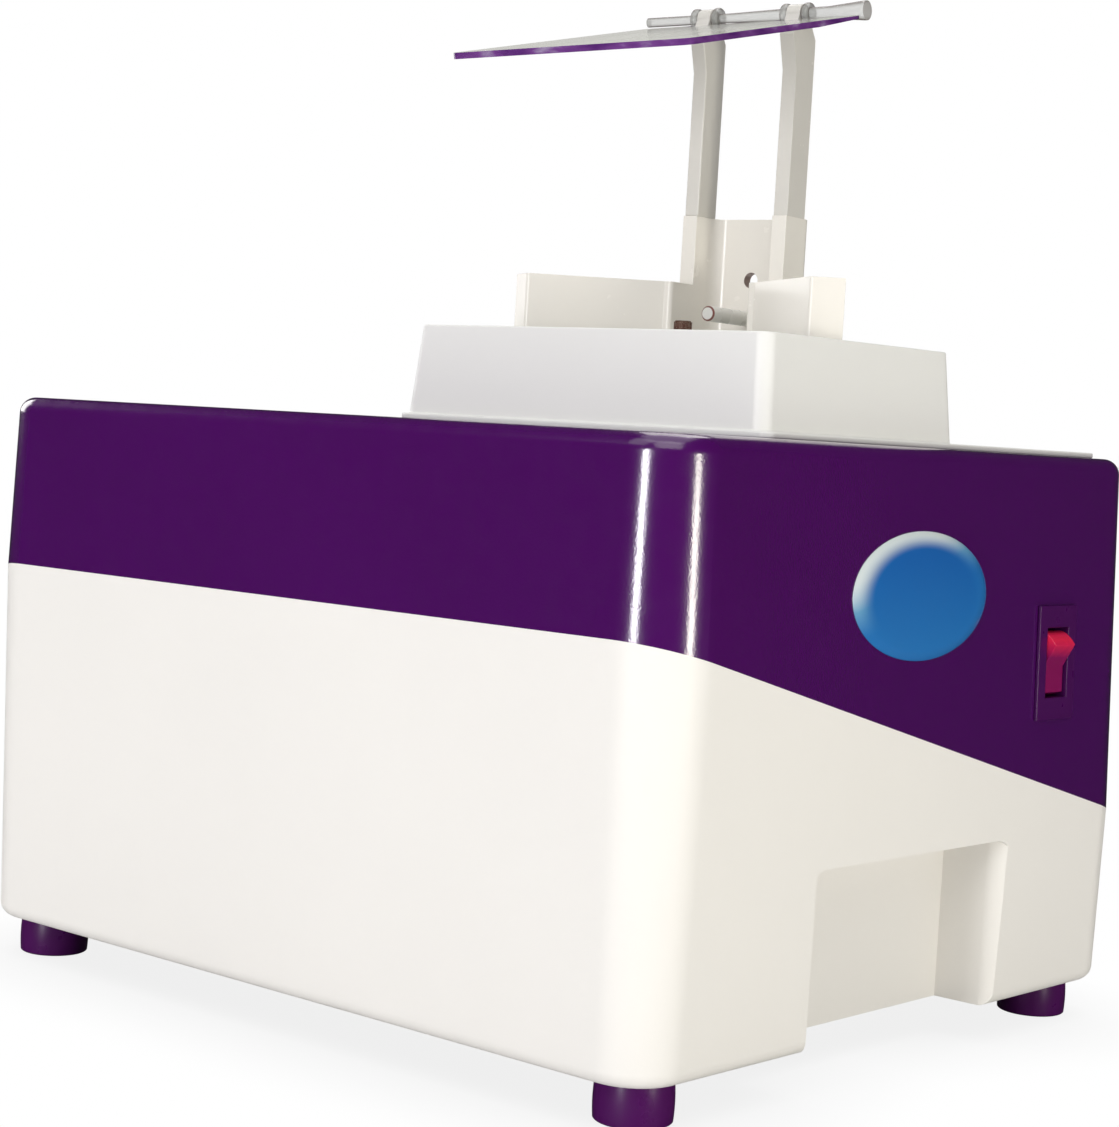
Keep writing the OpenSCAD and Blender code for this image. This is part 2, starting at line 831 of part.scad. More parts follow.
module housing_screws() {
    color(steel)
        in_housing() for (sy = [-1, 1])
            for (sx = [-1, 1])
                translate([sx * pillar_x, sy * case_screw_y, parting_z(sy * case_screw_y) - pillar_top_l])
                    screw_up(case_screw_d, case_head_d, pan_head_h, pillar_top_l + case_bite);
}

// Low dome on an oval foot
module badge() {
    sphere_r = (pow(badge_h / 2, 2) + pow(badge_t, 2)) / (2 * badge_t);
    color([0.25, 0.52, 0.75])
        in_housing() on_right_side(badge_y, under_z + badge_z)
            translate([0, 0, 0.05])
                resize([badge_w, badge_h, badge_t])
                    intersection() {
                        translate([0, 0, badge_t - sphere_r])
                            sphere(r = sphere_r, $fn = 96);
                        cylinder(d = badge_h, h = badge_t, $fn = 64);
                    }
}

module switch_frame() {
    window_w = rocker_w + 2 * rocker_gap;
    window_h = rocker_h + 2 * rocker_gap;
    color([0.1, 0.03, 0.13])
        in_housing() on_right_side(switch_y, under_z + switch_z)
            difference() {
                union() {
                    translate([0, 0, bezel_t / 2 + 0.05])
                        cube([bezel_w, bezel_h, bezel_t], center = true);
                    translate([-switch_body_w / 2, -switch_body_h / 2, -switch_body_d])
                        cube([switch_body_w, switch_body_h, switch_body_d + 1]);
                }
                translate([-window_w / 2, -window_h / 2, -rocker_well])
                    cube([window_w, window_h, rocker_well + bezel_t + 1]);
                translate([-switch_body_w / 2 + 1, 0, rocker_pivot_z])
                    rotate([0, 90, 0])
                        cylinder(d = rocker_pin_d + 2 * screw_gap, h = switch_body_w - 2, $fn = 32);
                for (y = terminal_places)
                    translate([0, y, -switch_body_d - 1])
                        linear_extrude(3)
                            square([terminal_w + 0.1, terminal_t + 0.1], center = true);
            }
}

rocker_pivot_z = -6;
rocker_well = 13;
terminal_places = [-10, 0, 10];
terminal_w = 6.3;
terminal_t = 0.8;

// Rocker: two faces that meet at the pivot's line, over a rounded belly
module switch_rocker() {
    tip = rocker_h / 2;
    rise = tan(rocker_slope) * tip;
    color([0.75, 0.05, 0.2])
        in_housing() on_right_side(switch_y, under_z + switch_z)
            translate([0, 0, rocker_pivot_z])
                rotate([rocker_slope, 0, 0]) {
                    rotate([90, 0, 90])
                        translate([0, 0, -rocker_w / 2])
                            linear_extrude(rocker_w)
                                intersection() {
                                    polygon([[-tip, rocker_reach + rise], [0, rocker_reach], [tip, rocker_reach + rise],
                                        [tip, 1], [4, -5], [-4, -5], [-tip, 1]]);
                                    circle(r = (rocker_h + rocker_gap) / 2, $fn = 96);
                                }
                    rotate([0, 90, 0])
                        cylinder(d = rocker_pin_d, h = rocker_w + 3.6, center = true, $fn = 32);
                }
}

module switch_terminals() {
    color([0.8, 0.66, 0.3])
        in_housing() on_right_side(switch_y, under_z + switch_z)
            for (y = terminal_places)
                translate([0, y, -switch_body_d - 8])
                    linear_extrude(10)
                        square([terminal_w, terminal_t], center = true);
}

// Capped gland in the cord recess; its bore is open right through
module cord_gland() {
    bore_r = gland_bore_d / 2;
    tail = upper_wall + gland_tail_l;
    color([0.1, 0.1, 0.11])
        in_housing() at_cord_recess()
            translate([0, -cord_recess_d, gland_z])
                rotate([-90, 0, 0])
                    rotate_extrude() {
                        translate([bore_r, -tail])
                            square([gland_thread_d / 2 - bore_r, tail + 1]);
                        translate([bore_r, 0])
                            square([gland_cap_d / 2 - bore_r, gland_cap_l - gland_edge_r]);
                        translate([bore_r, 0])
                            square([gland_cap_d / 2 - gland_edge_r - bore_r, gland_cap_l]);
                        translate([gland_cap_d / 2 - gland_edge_r, gland_cap_l - gland_edge_r])
                            circle(r = gland_edge_r);
                    }
}

module gland_nut() {
    color([0.1, 0.1, 0.11])
        in_housing() at_cord_recess()
            translate([0, -cord_recess_d - upper_wall, gland_z])
                rotate([90, 0, 0])
                    difference() {
                        cylinder(d = gland_cap_d + 2, h = 5, $fn = 6);
                        translate([0, 0, -1])
                            cylinder(d = gland_thread_d + 2 * screw_gap, h = 7);
                    }
}

module at_spindle() {
    translate([housing_x + spindle_x, spindle_y, 0])
        children();
}

module round_square(w, h, r) {
    square([w, h - 2 * r], center = true);
    square([w - 2 * r, h], center = true);
    for (c = CORNERS)
        translate([c[0] * (w / 2 - r), c[1] * (h / 2 - r)])
            circle(r = r);
}

module motor_plate() {
    color(steel)
        at_spindle()
            translate([0, 0, bell_top_z])
                linear_extrude(motor_plate_t)
                    difference() {
                        round_square(motor_plate_w, motor_plate_w, 8);
                        circle(d = pilot_d + 2 * screw_gap);
                        for (c = CORNERS)
                            translate([c[0] * plate_screw_xy, c[1] * plate_screw_xy])
                                circle(d = plate_screw_d + 2 * pilot_gap);
                        for (a = [0 : 90 : 270])
                            rotate(a)
                                translate([motor_bolt_r, 0])
                                    circle(d = motor_bolt_d + 2 * screw_gap);
                    }
}

module motor_plate_screws() {
    color(steel)
        at_spindle()
            translate([0, 0, bell_top_z])
                each_corner(plate_screw_xy, plate_screw_xy)
                    screw_up(plate_screw_d, 2 * plate_screw_d, pan_head_h, motor_plate_t + deck_boss_h - 2);
}

module motor_can() {
    color([0.25, 0.26, 0.28])
        at_spindle()
            translate([0, 0, can_low_z])
                difference() {
                    cylinder(d = motor_d, h = can_h);
                    translate([0, 0, -1])
                        cylinder(d = motor_d - 2 * can_wall, h = can_h + 2);
                    for (a = [45 : 90 : 315])
                        rotate([0, 0, a])
                            for (z = [can_h * 0.12, can_h * 0.88])
                                translate([motor_d / 2 - can_wall - 1, 0, z])
                                    rotate([0, 90, 0])
                                        cylinder(d = 7, h = can_wall + 3, $fn = 24);
                }
}

module bolt_circle(gap) {
    for (a = [0 : 90 : 270])
        rotate([0, 0, a])
            translate([motor_bolt_r, 0, 0])
                cylinder(d = motor_bolt_d + 2 * gap, h = 200, $fn = 32);
}

module motor_top_bell() {
    color([0.62, 0.63, 0.66])
        at_spindle()
            difference() {
                union() {
                    translate([0, 0, can_top_z])
                        cylinder(d = motor_d, h = bell_h);
                    translate([0, 0, bell_top_z - 1])
                        cylinder(d = pilot_d, h = pilot_h + 1);
                }
                translate([0, 0, can_top_z - 1])
                    cylinder(d = motor_d - 2 * bell_wall, h = bell_h - 3);
                translate([0, 0, pilot_top_z - bearing_seat - bearing_w - 20])
                    cylinder(d = bearing_d + 2 * screw_gap, h = bearing_w + 20);
                translate([0, 0, can_top_z])
                    cylinder(d = bearing_d - 2 * bearing_lip, h = 60);
                translate([0, 0, can_top_z - 50])
                    bolt_circle(screw_gap);
            }
}

module motor_bottom_bell() {
    color([0.62, 0.63, 0.66])
        at_spindle()
            difference() {
                translate([0, 0, bell_low_z])
                    cylinder(d = motor_d, h = bell_h);
                difference() {
                    translate([0, 0, bell_low_z + 3])
                        cylinder(d = motor_d - 2 * bell_wall, h = bell_h);
                    translate([0, 0, bell_low_z])
                        cylinder(d = bearing_d + 8, h = bearing_w + 2.5);
                }
                translate([0, 0, bell_low_z + bearing_seat])
                    cylinder(d = bearing_d + 2 * screw_gap, h = bell_h);
                translate([0, 0, bell_low_z - 1])
                    cylinder(d = bearing_d - 2 * bearing_lip, h = bell_h);
                translate([0, 0, bell_low_z - 10])
                    bolt_circle(screw_gap);
                for (a = [22.5 : 45 : 337.5])
                    rotate([0, 0, a])
                        translate([(bearing_d / 2 + 4 + motor_bolt_r) / 2, 0, bell_low_z - 1])
                            cylinder(d = 9, h = 6, $fn = 24);
            }
}

// Through bolts: heads under the bottom bell, ends in the motor plate
module motor_bolts() {
    color(steel)
        at_spindle()
            for (a = [0 : 90 : 270])
                rotate([0, 0, a])
                    translate([motor_bolt_r, 0, bell_low_z])
                        screw_up(motor_bolt_d, bolt_head_d, pan_head_h, plate_top_z - bell_low_z - 0.2);
}

stator_in_d = rotor_d + 2 * air_gap;
slot_pcd = stator_in_d + 4 + stator_slot_d;

module stator_core() {
    outer = motor_d - 2 * can_wall;
    color([0.45, 0.46, 0.5])
        at_spindle()
            difference() {
                translate([0, 0, core_mid_z - stator_h / 2])
                    cylinder(d = outer, h = stator_h);
                translate([0, 0, core_mid_z - stator_h])
                    cylinder(d = stator_in_d, h = 2 * stator_h);
                translate([0, 0, core_mid_z - stator_h]) {
                    bolt_circle(0.4);
                    for (i = [0 : stator_slots - 1])
                        rotate([0, 0, (i + 0.5) * 360 / stator_slots])
                            translate([slot_pcd / 2, 0, 0])
                                cylinder(d = stator_slot_d, h = 2 * stator_h, $fn = 24);
                }
            }
}

// Slot bars and both end turns, wound as one coil set
module stator_windings() {
    turn_h = 7;
    color([0.72, 0.35, 0.16])
        at_spindle() {
            for (i = [0 : stator_slots - 1])
                rotate([0, 0, (i + 0.5) * 360 / stator_slots])
                    translate([slot_pcd / 2, 0, core_mid_z - stator_h / 2 - 1])
                        cylinder(d = stator_slot_d - 0.2, h = stator_h + 2, $fn = 24);
            for (s = [-1, 1])
                translate([0, 0, core_mid_z + s * (stator_h / 2 + turn_h / 2 + 0.1)])
                    rotate_extrude()
                        translate([slot_pcd / 2, 0]) {
                            square([stator_slot_d + 3, turn_h - 4], center = true);
                            square([stator_slot_d - 1, turn_h], center = true);
                            for (c = CORNERS)
                                translate([c[0] * (stator_slot_d - 1) / 2, c[1] * (turn_h / 2 - 2)])
                                    circle(r = 2, $fn = 24);
                        }
        }
}

module rotor_core() {
    color([0.5, 0.5, 0.53])
        at_spindle()
            difference() {
                translate([0, 0, core_mid_z - stator_h / 2])
                    cylinder(d = rotor_d, h = stator_h);
                translate([0, 0, core_mid_z - stator_h])
                    cylinder(d = shoulder_d + 2 * screw_gap, h = 2 * stator_h);
            }
}

module motor_shaft() {
    shoulder = stator_h / 2 + 8;
    color([0.8, 0.8, 0.82])
        at_spindle() {
            translate([0, 0, bell_low_z - fan_h - 4])
                cylinder(d = shaft_d, h = pilot_top_z + 6 - bell_low_z + fan_h + 4);
            translate([0, 0, core_mid_z - shoulder])
                cylinder(d = shoulder_d, h = 2 * shoulder);
            translate([0, 0, pilot_top_z])
                cylinder(d = shaft_end_d, h = holder_top_z - shank_l - 1 - pilot_top_z);
        }
}

// Ball bearing drawn as one ring with its bore running on the shaft
module bearing(z) {
    color([0.75, 0.76, 0.78])
        at_spindle()
            translate([0, 0, z])
                difference() {
                    cylinder(d = bearing_d, h = bearing_w);
                    translate([0, 0, -1])
                        cylinder(d = shaft_d + 2 * bearing_gap, h = bearing_w + 2);
                    for (s = [0, 1])
                        translate([0, 0, s * bearing_w])
                            rotate_extrude()
                                translate([(bearing_d + shaft_d) / 4, 0])
                                    square([3, 1], center = true);
                }
}

module top_bearing() { bearing(pilot_top_z - bearing_seat - bearing_w); }
module bottom_bearing() { bearing(bell_low_z + bearing_seat); }

module cooling_fan() {
    top = bell_low_z - 1.5;
    color([0.15, 0.15, 0.16])
        at_spindle()
            difference() {
                union() {
                    translate([0, 0, top - fan_h])
                        cylinder(d = shaft_d + 10, h = fan_h);
                    translate([0, 0, top - fan_h])
                        cylinder(d = fan_d, h = 2);
                    for (i = [0 : fan_blades - 1])
                        rotate([0, 0, i * 360 / fan_blades])
                            translate([shaft_d / 2 + 3, -1, top - fan_h])
                                cube([fan_d / 2 - shaft_d / 2 - 4, 2, fan_h - 3.5]);
                }
                translate([0, 0, top - fan_h - 1])
                    cylinder(d = shaft_d + 2 * screw_gap, h = fan_h + 2);
            }
}

seal_r = 8.2;

// Rubber lip ring that keeps water off the top bearing
module shaft_seal() {
    color([0.12, 0.12, 0.12])
        at_spindle()
            translate([0, 0, pilot_top_z + 0.4])
                rotate_extrude()
                    polygon([[shaft_d / 2 + screw_gap, 0], [seal_r, 0], [seal_r - 1.5, 2.5],
                        [seal_r - 1.5, 5], [shaft_d / 2 + screw_gap, 5]]);
}

module bit_holder() {
    color([0.78, 0.62, 0.3])
        at_spindle()
            difference() {
                translate([0, 0, holder_low_z])
                    cylinder(d = holder_d, h = holder_l);
                translate([0, 0, holder_low_z - 1])
                    cylinder(d = shaft_end_d + 2 * screw_gap, h = holder_l - shank_l);
                translate([0, 0, holder_top_z - shank_l - 2])
                    cylinder(d = shank_d + 2 * screw_gap, h = shank_l + 3);
                translate([0, 0, holder_low_z + set_screw_z])
                    rotate([0, 90, 0])
                        cylinder(d = set_screw_d + 2 * screw_gap, h = holder_d, $fn = 32);
            }
}

module holder_screw() {
    color(steel)
        at_spindle()
            translate([shaft_end_d / 2 + 0.1, 0, holder_low_z + set_screw_z])
                rotate([0, 90, 0])
                    difference() {
                        cylinder(d = set_screw_d, h = holder_d / 2 - shaft_end_d / 2 - 0.4, $fn = 32);
                        translate([0, 0, 1.2])
                            cylinder(d = 1.6, h = 3, $fn = 6);
                    }
}

// Slim diamond bit: coated head over a plain shank
module grinding_bit() {
    color([0.45, 0.4, 0.36])
        at_spindle() {
            translate([0, 0, holder_top_z - shank_l])
                cylinder(d = shank_d, h = shank_l + 1);
            translate([0, 0, holder_top_z + 0.1])
                cylinder(d = bit_d, h = bit_top_z - holder_top_z - 0.5);
            translate([0, 0, bit_top_z - 0.5])
                cylinder(d = bit_d - 0.8, h = 0.5);
        }
}

// Raised tray: tapered box on a thin flange, ledge for the grid, standpipe round the spindle
module water_tray() {
    ledge_z = grid_low_z;
    inner_w = tray_w - 2 * (tray_inset + rim_t);
    inner_d = tray_d - 2 * (tray_inset + rim_t);
    well_w = inner_w - 2 * grid_ledge;
    well_d = inner_d - 2 * grid_ledge;
    back = body_d / 2 - flange_back - spindle_y;
    side = 1.5;
    color(white)
        at_spindle()
            difference() {
                union() {
                    hull() {
                        translate([0, 0, deck_z])
                            linear_extrude(e)
                                round_square(tray_w, tray_d, tray_corner_r, $fn = hull_fn);
                        translate([0, 0, tray_top_z - e])
                            linear_extrude(e)
                                round_square(tray_w - 2 * tray_inset, tray_d - 2 * tray_inset,
                                    tray_corner_r, $fn = hull_fn);
                    }
                    translate([-tray_w / 2 - side, -tray_d / 2 - side, deck_z])
                        linear_extrude(flange_t)
                            translate([(tray_w + side + flange_w) / 2, (back + tray_d / 2 + side) / 2])
                                round_square(tray_w + side + flange_w, back + tray_d / 2 + side, 4);
                }
                difference() {
                    translate([0, 0, deck_z + flange_t])
                        linear_extrude(tray_h)
                            round_square(well_w, well_d, 3);
                    translate([0, 0, deck_z])
                        cylinder(d = pipe_bore_d + 2 * pipe_wall, h = ledge_z - pipe_drop - deck_z);
                }
                translate([0, 0, ledge_z])
                    linear_extrude(tray_h)
                        round_square(inner_w, inner_d, 3);
                translate([0, 0, deck_z - 1])
                    cylinder(d = pipe_bore_d, h = tray_h);
            }
}

module work_grid() {
    w = tray_w - 2 * (tray_inset + rim_t + grid_gap);
    d = tray_d - 2 * (tray_inset + rim_t + grid_gap);
    nx = floor((w / 2 - 7) / grid_pitch);
    ny = floor((d / 2 - 7) / grid_pitch);
    color([0.9, 0.92, 0.9])
        at_spindle()
            translate([0, 0, grid_low_z])
                linear_extrude(grid_t)
                    difference() {
                        round_square(w, d, 3 - grid_gap);
                        circle(d = grid_bore_d);
                        for (i = [-nx : nx], j = [-ny : ny])
                            if (norm([i, j]) * grid_pitch > grid_bore_d / 2 + grid_hole * 0.75)
                                translate([i * grid_pitch, j * grid_pitch])
                                    square(grid_hole, center = true);
                    }
}

module at_guard() {
    translate([housing_x + spindle_x, spindle_y, grid_top_z])
        rotate([0, 0, guard_turn])
            children();
}

// Plan of the channel: back plate, two flanges, round rear corners inside and out
module channel_plan() {
    out_w = throat_w + 2 * guard_flange_t;
    rear = guard_back + plate_t;
    difference() {
        translate([-out_w / 2, guard_front])
            square([out_w, rear - guard_front]);
        translate([-throat_w / 2, guard_front - 1])
            square([throat_w, guard_flange_l + 1 - channel_r]);
        translate([-throat_w / 2 + channel_r, guard_front - 1])
            square([throat_w - 2 * channel_r, guard_flange_l + 1]);
        for (s = [-1, 1]) {
            translate([s * (throat_w / 2 - channel_r), guard_back - channel_r])
                circle(r = channel_r);
            difference() {
                translate([s * (out_w / 2 - channel_r / 2 + 1), rear - channel_r / 2 + 1])
                    square([channel_r + 2, channel_r + 2], center = true);
                translate([s * (out_w / 2 - channel_r), rear - channel_r])
                    circle(r = channel_r);
            }
        }
    }
}

// Plan of one cheek with its wing and bent-back end, on the +X side
module wing_plan() {
    x0 = throat_w / 2;
    r = cheek_edge_r;
    translate([x0, cheek_front + r])
        square([cheek_t, cheek_l - r]);
    translate([x0 + r, cheek_front])
        square([cheek_t - 2 * r, 2 * r]);
    translate([x0 + r, cheek_front + r])
        circle(r = r);
    translate([x0 + cheek_t - r, cheek_front + r])
        circle(r = r);
    tip = [x0 + cheek_t - wing_t / 2 + wing_l * cos(wing_angle), cheek_front + wing_t / 2 - wing_l * sin(wing_angle)];
    translate([x0 + cheek_t - wing_t / 2, cheek_front + wing_t / 2])
        rotate(-wing_angle)
            translate([0, -wing_t / 2])
                square([wing_l, wing_t]);
    translate(tip) {
        circle(d = wing_t);
        rotate(return_angle)
            translate([0, -wing_t / 2])
                square([return_l, wing_t]);
    }
}

module splash_guard() {
    color(white)
        at_guard()
            difference() {
                union() {
                    linear_extrude(guard_h)
                        channel_plan();
                    linear_extrude(wing_h)
                        difference() {
                            union() {
                                wing_plan();
                                mirror([1, 0])
                                    wing_plan();
                            }
                            translate([-throat_w / 2 + channel_r, guard_back - channel_r])
                                square([throat_w - 2 * channel_r, 20]);
                        }
                }
                for (s = [-1, 1])
                    translate([s * flange_x, tenon_y, guard_h - tenon_l - tenon_gap])
                        linear_extrude(tenon_l + 1)
                            square([tenon_w + 2 * tenon_gap, tenon_d + 2 * tenon_gap], center = true);
                for (z = [peg_z, spare_hole_z])
                    translate([0, guard_back - 1, z])
                        rotate([-90, 0, 0])
                            cylinder(d = peg_d + 2 * peg_gap, h = plate_t + 2);
            }
}

module sponge_peg() {
    color([0.85, 0.86, 0.84])
        at_guard()
            translate([0, cheek_front, peg_z])
                rotate([-90, 0, 0]) {
                    translate([0, 0, 0.6])
                        cylinder(d = peg_d, h = cheek_l + plate_t - 0.6);
                    cylinder(d1 = peg_d - 1.2, d2 = peg_d, h = 0.6);
                }
}

// Side outline of an arm: straight bar, head leaning forward and narrowing to the rod's eye
module arm_outline() {
    back = arm_front + arm_d;
    taper_z = rod_rise - head_taper_l;
    polygon([[arm_front, 0], [back, 0], [back, taper_z], [rod_y + eye_r * 0.9, rod_rise],
        [rod_y - eye_r * 0.9, rod_rise], [arm_front - head_lean, taper_z], [arm_front, rod_rise - head_l]]);
    translate([rod_y, rod_rise])
        circle(r = eye_r);
}

// An arm stands on a flange of the guard, on a tongue that plugs into it
module arm(s) {
    color(white)
        difference() {
            at_guard()
                translate([s * flange_x, 0, guard_h]) {
                    rotate([90, 0, 90])
                        translate([0, 0, -arm_w / 2])
                            linear_extrude(arm_w)
                                arm_outline();
                    translate([0, tenon_y, -tenon_l])
                        linear_extrude(tenon_l + 1)
                            square([tenon_w, tenon_d], center = true);
                }
            at_rod()
                rod_form(rod_gap);
        }
}

module left_arm() { arm(-1); }
module right_arm() { arm(1); }

module at_rod() {
    at_guard()
        translate([0, rod_y, guard_h + rod_rise])
            children();
}

// Rod along X: slim left part, taper between the arms, thicker right part, flared head
module rod_form(g) {
    rim = 1;
    translate([shield_shift, 0, 0])
        rotate([0, 90, 0])
            rotate_extrude()
                polygon([[0, -rod_l / 2 - g], [rod_d / 2 + g, -rod_l / 2 - g],
                    [rod_d / 2 + g, -rod_taper_l / 2], [rod_root_d / 2 + g, rod_taper_l / 2],
                    [rod_root_d / 2 + g, rod_l / 2 - rim - rod_flare_l],
                    [rod_head_d / 2 + g, rod_l / 2 - rim], [rod_head_d / 2 + g, rod_l / 2 + g],
                    [0, rod_l / 2 + g]]);
}

module shield_rod() {
    color(clear)
        at_rod()
            rod_form(0);
}

// Plan of the clear plate, notched where the arms' eyes and the collars pass
module plate_outline() {
    notch_w = arm_w + 2 * (collar_t + 2 * collar_gap);
    notch_l = eye_r + notch_reach;
    difference() {
        translate([shield_shift, -shield_l / 2])
            round_square(shield_w, shield_l, shield_corner_r);
        translate([shield_shift + shield_w / 2 - head_corner_r, -head_corner_r])
            difference() {
                square(head_corner_r + 1);
                circle(r = head_corner_r, $fn = 64);
            }
        for (s = [-1, 1])
            translate([s * flange_x - notch_w / 2, -notch_l])
                square([notch_w, notch_l + 1]);
    }
}

// Side view of the clear plate, thinner towards the rod
module plate_side() {
    polygon([[-shield_l, 0], [-shield_l, -shield_t], [-shield_taper_l, -shield_t],
        [-head_corner_r, -shield_rear_t], [0, -shield_rear_t], [0, 0]]);
}

// Clear plate that hangs under the rod, grooved for its thick end
module shield_plate() {
    color(clear)
        at_rod()
            difference() {
                rotate([shield_slope, -shield_roll, 0])
                    translate([0, 0, -rod_d / 2 - seat_gap])
                        intersection() {
                            translate([0, 0, -shield_t])
                                linear_extrude(shield_t)
                                    plate_outline();
                            translate([shield_shift - shield_w / 2, 0, 0])
                                rotate([90, 0, 90])
                                    linear_extrude(shield_w)
                                        plate_side();
                        }
                rod_form(seat_gap);
            }
}

// Round-edged discs on the rod, one on each side of each arm
module rod_collars() {
    r = collar_d / 2;
    color(clear)
        at_rod()
            difference() {
                for (s = [-1, 1], k = [-1, 1])
                    translate([s * flange_x + k * (arm_w / 2 + collar_gap + collar_t / 2), 0, 0])
                        rotate([0, 90, 0])
                            rotate_extrude() {
                                translate([0, -collar_t / 2])
                                    square([r - collar_edge_r, collar_t]);
                                translate([0, -collar_t / 2 + collar_edge_r])
                                    square([r, collar_t - 2 * collar_edge_r]);
                                for (j = [-1, 1])
                                    translate([r - collar_edge_r, j * (collar_t / 2 - collar_edge_r)])
                                        circle(r = collar_edge_r, $fn = 32);
                            }
                rod_form(screw_gap);
            }
}

upper_housing();
lower_housing();
base_plate();
foot_front_left();
foot_front_right();
foot_rear_left();
foot_rear_right();
foot_screws();
housing_screws();
badge();
switch_frame();
switch_rocker();
switch_terminals();
cord_gland();
gland_nut();
motor_plate();
motor_plate_screws();
motor_can();
motor_top_bell();
motor_bottom_bell();
motor_bolts();
stator_core();
stator_windings();
rotor_core();
motor_shaft();
top_bearing();
bottom_bearing();
cooling_fan();
shaft_seal();
bit_holder();
holder_screw();
grinding_bit();
water_tray();
work_grid();
splash_guard();
sponge_peg();
left_arm();
right_arm();
shield_rod();
shield_plate();
rod_collars();
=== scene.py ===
import json
import math

import bpy
import numpy as np
from mathutils import Matrix, Vector


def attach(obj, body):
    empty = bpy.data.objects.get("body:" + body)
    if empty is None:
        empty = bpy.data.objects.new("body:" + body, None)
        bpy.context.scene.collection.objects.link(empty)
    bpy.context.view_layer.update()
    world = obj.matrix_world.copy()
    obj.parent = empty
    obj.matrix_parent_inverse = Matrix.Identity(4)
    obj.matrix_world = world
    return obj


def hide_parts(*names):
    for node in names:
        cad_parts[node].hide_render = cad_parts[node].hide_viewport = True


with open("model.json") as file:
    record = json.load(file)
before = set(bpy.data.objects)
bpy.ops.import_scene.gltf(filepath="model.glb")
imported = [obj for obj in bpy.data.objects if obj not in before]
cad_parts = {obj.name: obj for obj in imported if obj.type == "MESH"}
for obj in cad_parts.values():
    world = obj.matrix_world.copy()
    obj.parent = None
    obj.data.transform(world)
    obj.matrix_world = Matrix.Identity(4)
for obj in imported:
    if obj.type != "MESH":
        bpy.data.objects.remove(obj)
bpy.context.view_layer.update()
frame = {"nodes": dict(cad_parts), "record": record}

scene = bpy.context.scene
nodes = frame["nodes"]
mm = 0.001

# Places shared by several pieces, in millimetres and degrees, as the part has them
place = {
    "housingX": -1.5, "spindle": (66.5, -23.0), "guardTurn": 6.2,
    "gridTop": 243.6, "guardBack": 44.7, "cheekFront": 15.9,
}


# Guard frame to the shared frame: turned about the spindle
def guardPoint(x, y, z):
    turn = math.radians(place["guardTurn"])
    spindleX, spindleY = place["spindle"]
    sharedX = spindleX + x * math.cos(turn) - y * math.sin(turn)
    sharedY = spindleY + x * math.sin(turn) + y * math.cos(turn)
    return Vector((sharedX, sharedY, z)) * mm


def newMaterial(name):
    material = bpy.data.materials.new(name)
    material.use_nodes = True
    tree = material.node_tree
    tree.nodes.clear()
    out = tree.nodes.new("ShaderNodeOutputMaterial")
    shader = tree.nodes.new("ShaderNodeBsdfPrincipled")
    tree.links.new(shader.outputs["BSDF"], out.inputs["Surface"])
    return material, tree, shader


# Object coordinates, moved so that a point on the piece is the origin, then turned about Z
def coordsFrom(tree, origin=(0, 0, 0), turn=0.0, scale=(1, 1, 1)):
    coords = tree.nodes.new("ShaderNodeTexCoord")
    shift = tree.nodes.new("ShaderNodeVectorMath")
    shift.operation = "SUBTRACT"
    shift.inputs[1].default_value = origin
    mapping = tree.nodes.new("ShaderNodeMapping")
    mapping.inputs["Rotation"].default_value = (0, 0, turn)
    mapping.inputs["Scale"].default_value = scale
    tree.links.new(coords.outputs["Object"], shift.inputs[0])
    tree.links.new(shift.outputs["Vector"], mapping.inputs["Vector"])
    return mapping.outputs["Vector"]


def noiseOn(tree, scale, detail=3.0, stretch=(1, 1, 1), rough=0.5):
    noise = tree.nodes.new("ShaderNodeTexNoise")
    noise.inputs["Scale"].default_value = scale
    noise.inputs["Detail"].default_value = detail
    noise.inputs["Roughness"].default_value = rough
    tree.links.new(coordsFrom(tree, scale=stretch), noise.inputs["Vector"])
    return noise.outputs["Fac"]


def mapRange(tree, value, fromLow, fromHigh, toLow, toHigh, smooth=False):
    node = tree.nodes.new("ShaderNodeMapRange")
    node.interpolation_type = "SMOOTHSTEP" if smooth else "LINEAR"
    sockets = ("From Min", "From Max", "To Min", "To Max")
    for socket, number in zip(sockets, (fromLow, fromHigh, toLow, toHigh)):
        node.inputs[socket].default_value = number
    tree.links.new(value, node.inputs["Value"])
    return node.outputs["Result"]


def colourRamp(tree, value, stops):
    node = tree.nodes.new("ShaderNodeValToRGB")
    steps = node.color_ramp.elements
    while len(steps) < len(stops):
        steps.new(0.5)
    for step, (position, colour) in zip(steps, stops):
        step.position = position
        step.color = (*colour, 1)
    tree.links.new(value, node.inputs["Fac"])
    return node.outputs["Color"]


# Sockets 6 and 7 and output 2 are the Mix node's colour ones
def mixColour(tree, mask, first, second):
    node = tree.nodes.new("ShaderNodeMix")
    node.data_type = "RGBA"
    tree.links.new(mask, node.inputs["Factor"])
    for socket, value in ((node.inputs[6], first), (node.inputs[7], second)):
        if isinstance(value, tuple):
            socket.default_value = (*value, 1)
        else:
            tree.links.new(value, socket)
    return node.outputs[2]


def maths(tree, operation, first, second=None):
    node = tree.nodes.new("ShaderNodeMath")
    node.operation = operation
    for socket, value in zip(node.inputs, (first, second)):
        if value is None:
            continue
        if isinstance(value, (int, float)):
            socket.default_value = value
        else:
            tree.links.new(value, socket)
    return node.outputs["Value"]


def axisOf(tree, vector, axis):
    node = tree.nodes.new("ShaderNodeSeparateXYZ")
    tree.links.new(vector, node.inputs["Vector"])
    return node.outputs[axis]


# Low where the surface faces the eye, high towards its outline
def facingOf(tree):
    node = tree.nodes.new("ShaderNodeLayerWeight")
    node.inputs["Blend"].default_value = 0.5
    return node.outputs["Facing"]


